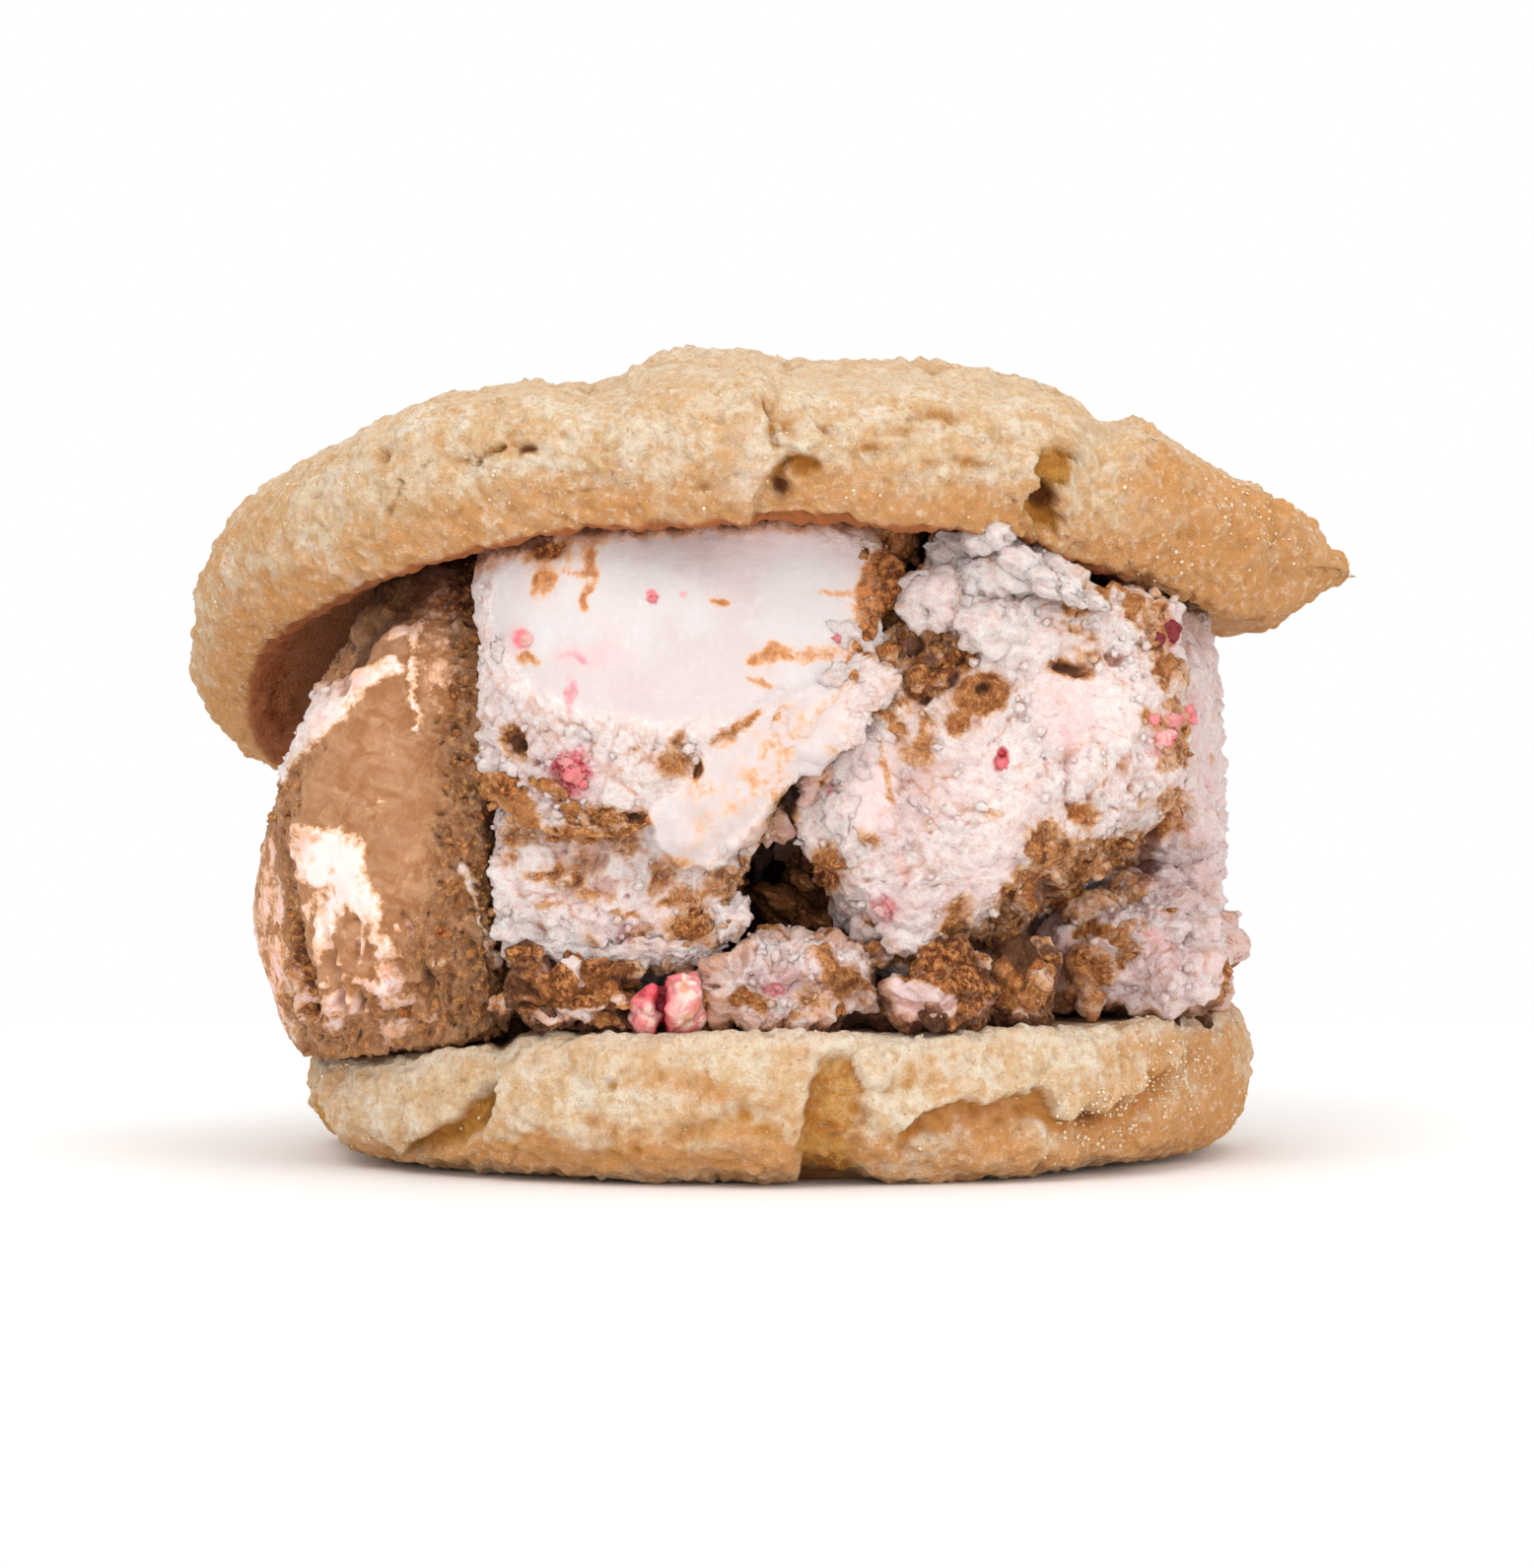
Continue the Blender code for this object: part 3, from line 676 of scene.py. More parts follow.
def fruit_looks():
    k = Looks("red_fruit_flesh")
    pit, pale, shade = k.attribute("form")
    mid = k.noise(1.4, 4.0, 0.6, 0.6)
    grain = k.noise(0.4, 3.0, 0.6)
    base = k.mix(k.span(mid, 0.38, 0.62), lin(224, 96, 106), lin(184, 34, 52))
    base = k.mix(k.math("MULTIPLY", pale, k.span(mid, 0.40, 0.56, 0.25, 1.0)), base, lin(246, 212, 202))
    base = k.mix(k.span(pit, 0.3, 1.0), base, lin(112, 12, 26))
    base = k.mix(k.math("MULTIPLY", shade, k.span(mid, 0.4, 0.6, 0.35, 1.0)), base, lin(206, 140, 98))
    normal = k.bump(grain, 0.34, 0.8)
    return k.finish(base, k.span(grain, 0.3, 0.7, 0.34, 0.6), normal, 0.4, 0.25, (1.4, 0.4, 0.3), 0.8)


def sugar_looks():
    k = Looks("sugar_grain")
    tone = k.noise(1.6, 2.0, 0.5)
    base = k.mix(k.span(tone, 0.35, 0.65), lin(240, 219, 188), lin(224, 191, 150))
    return k.finish(base, 0.42, None, 0.5, 0.2, (1.0, 0.9, 0.8), 0.4)


COOKIE = cookie_looks()
CREAM = cream_looks("pale_ice_cream_swirled")
COCOA = cream_looks("cocoa_ice_cream_scooped", striped=True)
FRUIT = fruit_looks()
SUGAR = sugar_looks()

# =====================================================================================
# cookies


def rim_path(profile, step_fine, step_coarse):
    """Points (share, t, weight) along a cookie's section, dense around its rim."""
    pts = np.array(profile, float)
    # smooth the section through its named points
    xs = pts[:, 0] * 45.0
    ys = pts[:, 1] * 5.75
    seg = np.hypot(np.diff(xs), np.diff(ys))
    s = np.concatenate([[0], np.cumsum(seg)])
    dense = np.linspace(0, s[-1], 1500)
    sx, sy = np.interp(dense, s, pts[:, 0]), np.interp(dense, s, pts[:, 1])
    kernel = np.hanning(41)
    kernel /= kernel.sum()
    ex = np.concatenate([np.full(20, sx[0]), sx, np.full(20, sx[-1])])
    ey = np.concatenate([np.full(20, sy[0]), sy, np.full(20, sy[-1])])
    ex[:20] = -sx[20:0:-1]
    ex[-20:] = -sx[-2:-22:-1]
    sx, sy = np.convolve(ex, kernel, "valid"), np.convolve(ey, kernel, "valid")
    sx[0], sx[-1] = 0.0, 0.0
    out, at = [], 0.0
    total = s[-1]
    while at < total:
        share, t = np.interp(at, dense, sx), np.interp(at, dense, sy)
        out.append((share, t))
        near_rim = smooth((share - 0.80) / 0.07)
        at += step_coarse + (step_fine - step_coarse) * float(near_rim)
    out.append((0.0, profile[-1][1]))
    return out


RIM = [(0.86, 0.93), (0.93, 0.80), (0.972, 0.58), (0.995, 0.26), (1.0, -0.12), (0.996, -0.55), (0.986, -0.86), (0.968, -1.0)]


def front_dense(n, weight=2.3):
    """n angles from 0 to 360 degrees, closer together at the front."""
    a = np.linspace(0, 2 * math.pi, 4001)
    density = 1.0 + (weight - 1.0) * smooth((0.25 - np.sin(a)) / 0.6)
    cum = np.concatenate([[0], np.cumsum(0.5 * (density[1:] + density[:-1]))])
    return np.interp(np.arange(n) / n * cum[-1], cum, a)


def cookie_grid(place, outline_r, step_fine, step_coarse, most):
    rings = rim_path([(0.0, 1.0), (0.45, 1.0), (0.76, 0.985)] + RIM + [(0.83, -1.0), (0.4, -1.0), (0.0, -1.0)], step_fine, step_coarse)
    pts, counts, ts, shares, last = [], [], [], [], None
    for i, (share, t) in enumerate(rings):
        if share < 0.004:
            if i in (0, len(rings) - 1):
                pts.append(place(np.array([0.0]), np.array([0.0]), np.array([t])))
                counts.append(1)
                ts.append(np.array([t]))
                shares.append(np.array([0.0]))
            continue
        near_rim = float(smooth((share - 0.80) / 0.07))
        spacing = step_coarse + (step_fine - step_coarse) * near_rim
        want = 2 * math.pi * outline_r * share / spacing * (0.72 if near_rim > 0.5 else 1.0)
        n = min(ring_count(want, last), most)
        last = n
        th = front_dense(n)
        pts.append(place(th, np.full(n, share), np.full(n, t)))
        counts.append(n)
        ts.append(np.full(n, t))
        shares.append(np.full(n, share))
    # the last rings shrink to a point
    while counts[-2] > 12:
        n = counts[-2] // 2
        share = shares[-2][0] * 0.5
        th = front_dense(n)
        t = ts[-2][0]
        pts.insert(-1, place(th, np.full(n, share), np.full(n, t)))
        counts.insert(-1, n)
        ts.insert(-1, np.full(n, t))
        shares.insert(-1, np.full(n, share))
    p = np.concatenate(pts)
    tris = outward(p - p.mean(0), join_rings(counts))
    return p, tris, np.concatenate(ts), np.concatenate(shares)


def crumb_relief(p, salt):
    """Height of baked crumb over its base, mm, and how open its pores are."""
    w = push(p, 3.0, 0.9, salt)
    h = 0.40 * perlin(p, 9.0, salt + 3) + 0.32 * perlin(w, 3.6, salt + 4) + 0.27 * perlin(w, 1.8, salt + 5) + 0.27 * perlin(p, 0.9, salt + 6)
    h = h - 0.35 * smooth((0.12 - np.abs(perlin(w, 4.6, salt + 9))) / 0.12) * smooth((perlin(p, 7.0, salt + 10) - 0.05) / 0.3)
    near, second, own = cells(w, 2.9, salt + 7)
    pore = smooth((0.30 - near) / 0.22) * (own < 0.30)
    near2, second2, own2 = cells(w, 1.3, salt + 8)
    knob = np.sqrt(np.maximum(0.0, 1 - (near2 * 1.3) ** 2)) - 0.5
    h = h + 0.30 * knob - 0.40 * pore
    return h, pore


def top_cookie():
    p, tris, t, share = cookie_grid(place_top, 47.0, 0.30, 0.62, 768)
    n = normals_of(p, tris)
    s = Sight(p, 4.0, 60)
    front = smooth((0.25 - n[:, 1]) / 0.4) * smooth((12.0 - p[:, 1]) / 10.0)
    h, pore = crumb_relief(p, 100)
    calm = smooth((-t - 0.8) / 0.2) * smooth((0.93 - share) / 0.05)  # flat baked side
    h = h * (1 - 0.75 * calm)
    crown = smooth((t - 0.75) / 0.2)
    # cracked crust on the crown
    near, second, own = cells(push(p, 6.0, 2.4, 130), 12.0, 131)
    crack = smooth((0.15 - (second - near)) / 0.14) * crown * (1 - smooth((share - 0.66) / 0.12))
    h = h + crown * (0.5 * (own - 0.5)) * smooth((second - near - 0.05) / 0.1) * (1 - smooth((share - 0.66) / 0.12)) - 0.75 * crack
    amber = 0.6 * crack + 0.25 * pore
    # pit: painted shade in holes and deep cracks
    pit = np.zeros(len(p))
    # --- crack that parts the right-hand piece
    c1 = s.right_of([(1064, 440), (1062, 455), (1052, 472), (1045, 490), (1048, 508), (1050, 540)]) + 15.0 * perlin(p, 2.0, 136) + 12.0 * perlin(p, 0.9, 137)
    wide1 = 46.0 - 14.0 * smooth((s.y - 478) / 22)
    open1 = smooth((c1 + 5) / 9) * smooth((wide1 + 14.0 * perlin(p, 1.1, 142) - c1) / 10) * smooth((s.y - 449) / 10) * smooth((548 - s.y) / 10) * front
    right = smooth((c1 - 20) / 40) * front * smooth((s.y - 425) / 40)
    h = h - (0.8 + 0.8 * smooth((s.y - 482) / 14) + 0.5 * perlin(p, 1.3, 138)) * open1 - 0.6 * right * smooth((1290 - s.x) / 90)
    h = h + 0.45 * smooth((c1 + 26) / 22) * smooth((2 - c1) / 8) * front * smooth((s.y - 440) / 20)
    amber = np.maximum(amber, 0.95 * open1)
    # painted shade in the dark hole at the foot of the crack
    dark1 = s.blob(1063, 507, 13, 20, 0, 0.9) * front
    pit = np.maximum(pit, np.maximum(0.85 * dark1, 0.35 * open1 * smooth((16 - c1) / 12)))
    h = h - 0.5 * dark1
    # small nick in the outline
    nick = s.blob(1016, 388, 9, 10) * front
    h = h - 0.5 * nick
    # --- crack near the middle
    c2 = s.right_of([(772, 380), (776, 400), (786, 425), (782, 440), (792, 462), (786, 478), (774, 492), (768, 518)]) + 8.0 * perlin(p, 1.8, 139) + 4.0 * perlin(p, 0.9, 141)
    right2 = smooth((c2 + 3) / 6) * smooth((118 - c2) / 70) * front * smooth((s.y - 385) / 18)
    h = h - 1.05 * right2 + 0.35 * smooth((c2 + 45) / 40) * smooth((1 - c2) / 5) * front
    seam2 = s.stroke([(774, 392, 3), (783, 425, 4), (783, 445, 4), (791, 470, 6), (787, 495, 6)], 1.2) * front * (0.7 + 0.7 * perlin(p, 1.3, 143))
    h = h - 0.8 * seam2
    hole = np.maximum(s.blob(812, 470, 20, 12, 15), s.blob(791, 498, 10, 12)) * front
    h = h - 0.9 * hole
    amber = np.maximum(amber, np.maximum(np.maximum(0.9 * s.blob(815, 474, 22, 14, 20), 0.85 * seam2), 0.55 * right2 * smooth((60 - c2) / 50) * (0.7 + 0.8 * perlin(p, 2.4, 144))) * front)
    # painted shade in the holes
    pit = np.maximum(pit, np.maximum(0.55 * s.blob(802, 466, 11, 6), 0.85 * s.blob(791, 498, 8, 10)) * front)
    for x, y, rx, ry, d in ((976, 467, 34, 5, 0.5), (956, 420, 24, 8, 0.3), (839, 433, 9, 5, 0.4), (837, 418, 3, 5, 0.4), (888, 452, 20, 6, 0.4), (918, 430, 30, 5, 0.2), (905, 488, 14, 4, 0.25), (1030, 446, 12, 4, 0.3)):
        b = s.blob(x, y, 1.3 * rx, 1.4 * ry, 4, 1.6) * front * (0.7 + 0.5 * perlin(p, 1.6, 133))
        h = h - 1.0 * d * b
        amber = np.maximum(amber, 0.78 * b)
    # --- pits and cracks at the left; the last number of each row is painted shade in it
    for x, y, rx, ry, turn, d, a, k in (
        (516, 438, 9, 6, 20, 0.8, 0.9, 0.0), (536, 455, 9, 5, 10, 1.5, 0.9, 1.0), (458, 466, 12, 6, -10, 0.6, 0.8, 0.0),
        (404, 492, 5, 3, 0, 0.5, 0.9, 0.5), (388, 470, 7, 12, 10, 0.4, 0.6, 0.0), (1207, 548, 10, 6, 10, 0.7, 0.8, 0.2),
        (524, 446, 5, 9, 30, 0.7, 0.8, 0.2), (1262, 560, 12, 26, -20, 0.6, 0.4, 0.0), (1296, 575, 8, 20, -30, 0.7, 0.5, 0.2),
        (468, 518, 4, 8, 20, 0.3, 0.6, 0.1),
    ):
        b = s.blob(x, y, 1.2 * rx, 1.2 * ry, turn, 1.5) * front * (0.8 + 0.5 * perlin(p, 1.4, 134))
        h = h - 0.7 * d * b
        amber = np.maximum(amber, a * b)
        pit = np.maximum(pit, k * b)
    # cracks; the last number of each row is painted shade in it
    for line, d, a, k in (
        ([(478, 474, 3.5), (492, 462, 4), (512, 454, 3)], 0.7, 0.9, 0.6),
        ([(394, 526, 3), (400, 508, 3.5), (406, 494, 3)], 0.5, 0.9, 0.3),
        ([(404, 494, 2.5), (430, 478, 2.5), (452, 466, 3)], 0.35, 0.5, 0.0),
        ([(380, 454, 3), (392, 476, 3)], 0.4, 0.5, 0.0),
        ([(528, 458, 3), (530, 500, 2)], 0.3, 0.3, 0.0),
        ([(1225, 500, 3), (1240, 520, 3), (1262, 540, 3)], 0.4, 0.4, 0.0),
        ([(1160, 520, 2.5), (1190, 540, 3)], 0.3, 0.4, 0.0),
        ([(1286, 500, 6), (1300, 540, 9), (1297, 590, 8)], 0.8, 0.55, 0.25),
        ([(1190, 470, 4), (1216, 492, 4)], 0.3, 0.45, 0.0),
    ):
        b = s.stroke(line, 1.6) * front * (0.8 + 0.5 * perlin(p, 1.4, 135))
        h = h - d * b
        amber = np.maximum(amber, a * b)
        pit = np.maximum(pit, k * b)
    # the right end is crumpled, narrower and higher underneath
    tip = smooth((s.x - 1255) / 60) * front
    h = h + 0.8 * tip * perlin(p, 4.0, 140)
    top = smooth((t + 0.3) / 0.9) * smooth((14.0 - p[:, 1]) / 12.0)
    sx = s.x
    dz = 0.7 * np.exp(-(((sx - 415) / 55) ** 2)) - 1.3 * np.exp(-(((sx - 612) / 50) ** 2)) + 0.15 * smooth((sx - 664) / 10) * smooth((1010 - sx) / 300) - 0.5 * smooth((sx - 690) / 90) * smooth((930 - sx) / 90)
    dz = dz - 1.5 * np.exp(-(((sx - 1114) / 20) ** 2)) + 0.9 * np.exp(-(((sx - 1160) / 26) ** 2)) + 0.9 * np.exp(-(((sx - 1200) / 34) ** 2)) - 0.4 * smooth((sx - 690) / 40) * smooth((1040 - sx) / 60)
    p = p + n * h[:, None]
    p[:, 2] += dz * top
    far = smooth((s.x - 1275) / 80) * smooth((-t + 0.3) / 1.0)
    p[:, 2] += 3.0 * far + 0.1 * smooth((262 - s.x) / 70) * smooth((20.0 - p[:, 1]) / 20.0)
    # looks
    # gold: baked browning, and painted shade on the lower rim band and the right end
    rim_gold_and_shade = smooth((-t + 0.15) / 0.9) * smooth((share - 0.9) / 0.06)
    gold_and_shade = 0.30 + 0.55 * rim_gold_and_shade + 0.62 * smooth((s.x - 1070) / 200) + 0.28 * smooth((330 - s.x) / 120) + 0.22 * perlin(p, 7.0, 150)
    crust = crown * 0.9
    shade = smooth((-t - 0.88) / 0.07) * smooth((0.992 - share) / 0.02) * (0.95 - 0.85 * smooth((s.x - 1110) / 70))
    pale = 0.55 * smooth((c2 + 60) / 50) * smooth((0 - c2) / 8) * front * smooth((0.8 - t) / 0.4) * smooth((t + 0.9) / 0.4)
    tint = np.stack([amber, gold_and_shade, crust], 1)
    form = np.stack([pit, pale, shade], 1)
    make_piece("cookie_upper", p, tris, COOKIE, ["cookie_top"], tint, form)
    return p, tris, t, share, tint, form


def low_cookie():
    p, tris, t, share = cookie_grid(place_low, 40.5, 0.27, 0.8, 768)
    n = normals_of(p, tris)
    s = Sight(p, 4.0, 70)
    front = smooth((0.25 - n[:, 1]) / 0.4) * smooth((6.0 - p[:, 1]) / 10.0)
    h, pore = crumb_relief(p, 200)
    calm = smooth((-t - 0.8) / 0.2) * smooth((0.95 - share) / 0.04)
    resting = smooth((t - 0.9) / 0.08) * smooth((0.82 - share) / 0.06)
    h = h * (1 - 0.7 * calm) * (1 - 0.9 * resting)
    # pit: painted shade in holes and cracks
    amber, pit = 0.3 * pore, np.zeros(len(p))
    pale = np.zeros(len(p))
    # --- crack at the left, the end piece a little further back
    c1 = s.right_of([(520, 1040), (512, 1062), (500, 1080), (488, 1100), (494, 1115), (490, 1128), (483, 1150), (486, 1200)]) + 7.0 * perlin(p, 1.8, 255) + 4.0 * perlin(p, 0.9, 256)
    left = smooth((4 - c1) / 8) * front
    h = h - 0.5 * left
    zone = smooth((26 - np.abs(c1 + 10)) / 18) * front
    step = s.stroke([(513, 1058, 14), (497, 1085, 12), (486, 1112, 12)], 0.8) * front
    h = h - 0.9 * step
    amber = np.maximum(amber, 0.35 * step)
    cav = s.stroke([(490, 1106, 8), (482, 1128, 14), (470, 1146, 16), (448, 1160, 14), (420, 1170, 8)], 0.8) * front
    h = h - 1.7 * cav
    amber = np.maximum(amber, cav)
    # painted shade deep in the cavity
    pit = np.maximum(pit, 0.55 * s.stroke([(487, 1118, 5), (481, 1138, 7), (474, 1146, 6)], 0.9) * front)
    # left end facet
    fac = s.stroke([(320, 1110, 9), (322, 1150, 16), (340, 1175, 12)], 0.7) * front
    amber = np.maximum(amber, 0.95 * fac)
    h = h - 0.6 * fac
    # --- step in the middle: right of it the face is set back
    c2 = s.right_of([(836, 1040), (832, 1066), (822, 1100), (814, 1130), (812, 1160), (808, 1200)]) + 8.0 * perlin(p, 1.8, 257) + 4.0 * perlin(p, 0.9, 258)
    zone2 = smooth((c2 + 3) / 6) * smooth((96 - c2) / 50) * front * smooth((s.y - 1062) / 16)
    h = h - 1.2 * zone2
    h = h + 0.3 * smooth((c2 + 60) / 50) * smooth((0 - c2) / 5) * front
    amber = np.maximum(amber, 0.80 * zone2 * smooth((84 - c2) / 40) * smooth((s.y - 1056) / 20))
    # the last number of each row is painted shade in that hole
    for x, y, rx, ry, turn, d, a, k in (
        (872, 1136, 12, 8, 10, 0.9, 0.9, 0.55), (841, 1148, 6, 4, 0, 0.8, 0.9, 0.6), (845, 1161, 7, 4, -20, 0.8, 0.9, 0.7),
        (922, 1092, 9, 14, 20, 0.7, 0.9, 0.0), (900, 1105, 8, 8, 0, 0.6, 0.8, 0.0), (905, 1160, 10, 5, 40, 0.6, 0.8, 0.3),
        (1116, 1138, 15, 7, 10, 1.2, 0.7, 0.9), (1108, 1148, 6, 9, 30, 0.9, 0.7, 0.5), (1170, 1092, 8, 7, 0, 0.6, 0.9, 0.1),
        (616, 1102, 6, 4, 0, 0.5, 0.8, 0.3), (622, 1150, 4, 9, 10, 0.7, 0.8, 0.4), (620, 1172, 12, 4, 0, 0.7, 0.9, 0.4),
        (645, 1164, 6, 5, 0, 0.5, 0.8, 0.2), (740, 1136, 26, 9, -10, 0.6, 0.8, 0.0), (700, 1150, 34, 10, 0, 0.4, 0.6, 0.0),
        (780, 1150, 14, 10, 0, 0.5, 0.7, 0.0), (680, 1094, 30, 10, 15, 0.3, 0.5, 0.0), (520, 1160, 34, 8, -8, 0.5, 0.7, 0.0),
        (556, 1172, 34, 7, 14, 0.5, 0.6, 0.1), (498, 1117, 5, 4, 0, 0.6, 0.9, 0.6), (1040, 1148, 14, 6, 0, 0.3, 0.5, 0.1),
    ):
        b = s.blob(x, y, 1.25 * rx, 1.25 * ry, turn, 1.6) * front * (0.8 + 0.5 * perlin(p, 1.4, 254))
        h = h - 0.7 * d * b
        amber = np.maximum(amber, a * b)
        pit = np.maximum(pit, 0.8 * k * b)
    lump = s.dome(888, 1082, 20, 24, -20) * front
    h = h + 1.0 * lump
    amber = amber * (1 - smooth(lump * 2))
    pale = np.maximum(pale, 0.5 * smooth(lump * 2))
    # --- overhanging lip to the right; below it the face is set back and painted darker and browner, as shade under the lip
    lip = s.below([(905, 1158), (930, 1128), (975, 1118), (1020, 1112), (1060, 1106), (1075, 1128), (1110, 1128), (1140, 1118), (1165, 1100), (1185, 1080), (1200, 1060), (1262, 1030)]) + 9.0 * perlin(p, 2.0, 259) + 5.0 * perlin(p, 0.9, 260)
    inside = smooth((s.x - 908) / 14) * smooth((1235 - s.x) / 60) * front
    under = smooth((lip + 2) / 6) * inside
    h = h - 1.0 * under * smooth((70 - lip) / 50) + 0.45 * smooth((lip + 26) / 22) * smooth((1 - lip) / 5) * inside
    shade_below_lip = under * smooth((44 - lip) / 30)
    # lower edge lumps
    h = h + 0.35 * perlin(p, 5.0, 240) * smooth((s.y - 1150) / 30) * front
    p2 = p + n * h[:, None]
    flat = smooth((t - 0.9) / 0.08) * smooth((0.80 - share) / 0.06)
    p2[:, 2] = np.where(flat > 0, p2[:, 2] * (1 - flat) + 0.0 * flat, p2[:, 2])
    p2[:, 2] = np.maximum(p2[:, 2], 0.0)
    p2[:, 0] -= 1.3 * smooth((400 - s.x) / 70) * smooth((-t + 1.0) / 0.9) * smooth((24.0 - p[:, 1]) / 24.0)
    # gold: baked browning, and painted shade on the lower rim band, the right end and below the lip
    low_edge = smooth((t + 0.1) / 0.9) * smooth((share - 0.8) / 0.1)
    gold_and_shade = 0.22 + 0.60 * low_edge + 0.50 * smooth((s.x - 1080) / 130) + 0.75 * shade_below_lip + 0.40 * perlin(p, 5.0, 250) + 0.2 * smooth((360 - s.x) / 30)
    amber = np.maximum(amber, 0.85 * shade_below_lip * (0.75 + 0.5 * perlin(p, 2.6, 253)))
    for x, y, rx, ry, turn in ((520, 1166, 60, 12, -6), (560, 1178, 46, 10, 8), (715, 1108, 70, 16, 6), (750, 1145, 50, 14, -8), (700, 1180, 60, 10, 0), (600, 1130, 40, 12, 20), (640, 1176, 30, 12, 0), (770, 1170, 30, 10, 0)):
        wash = s.blob(x, y, rx, ry, turn, 1.4) * (0.7 + 0.6 * perlin(p, 2.2, 251)) * front
        gold_and_shade = gold_and_shade + 0.6 * wash
        amber = np.maximum(amber, 0.42 * wash)
    strip = smooth((-t - 0.72) / 0.2) * smooth((share - 0.93) / 0.03) * front
    pale = np.maximum(pale, 0.55 * strip)
    shade = 0.28 * shade_below_lip + 0.45 * smooth((t - 0.93) / 0.05) + 0.5 * smooth((-t - 0.97) / 0.03) * smooth((0.9 - share) / 0.05)
    tint = np.stack([amber, gold_and_shade, 0.35 * smooth((t - 0.7) / 0.2)], 1)
    form = np.stack([pit, pale, shade], 1)
    make_piece("cookie_lower", p2, tris, COOKIE, ["cookie_bottom"], tint, form)
    return p2, tris, t, share, tint, form


UPPER = top_cookie()
LOWER = low_cookie()

# =====================================================================================
# ice cream


def cream_relief(p, rough, salt, lump=2.4, deep=1.0):
    """Height of scooped or torn ice cream over its base, mm, and how deep in a crevice each point is."""
    w = push(p, 3.0, 1.1, salt)
    big = 0.45 * perlin(p, 8.0, salt + 3) + 0.25 * perlin(p, 4.0, salt + 4)
    a = np.abs(perlin(w, lump * 1.15, salt + 5))
    b = np.abs(perlin(w, lump * 0.55, salt + 6))
    c = np.abs(perlin(w, lump * 0.27, salt + 7))
    near, second, own = cells(w, lump * 0.45, salt + 8)
    grit = np.sqrt(np.maximum(0.0, 1 - (near * 1.3) ** 2)) * (own > 0.4)
    hole = smooth((0.34 - near) / 0.2) * (own < 0.06)
    near3, second3, own3 = cells(push(p, 1.5, 0.35, salt + 11), 0.82, salt + 14)
    grains_ = np.sqrt(np.maximum(0.0, 1 - (near3 * 1.35) ** 2)) * (0.3 + 0.7 * own3)
    torn = 0.80 * deep * (a - 0.36) + 0.60 * (b - 0.36) + 0.50 * (c - 0.36) + 0.40 * (grit - 0.3) + 0.52 * (grains_ - 0.35) - 0.9 * hole
    rough = rough * (0.62 + 0.38 * smooth((perlin(p, 5.5, salt + 10) + 0.35) / 0.7))
    h = 1.15 * big * (0.6 + 0.4 * rough) + rough * torn + (1 - rough) * 0.06 * perlin(p, 1.6, salt + 9)
    crevice = rough * (0.8 * smooth((0.13 - a) / 0.13) + 0.55 * smooth((0.11 - b) / 0.11) * smooth((0.5 - a) / 0.3) + 0.8 * hole)
    return h, np.minimum(crevice, 1.0)


def strip_early(s):
    return s.stroke([(445, 598, 17), (444, 650, 18), (446, 700, 14), (452, 730, 6)], 0.8)


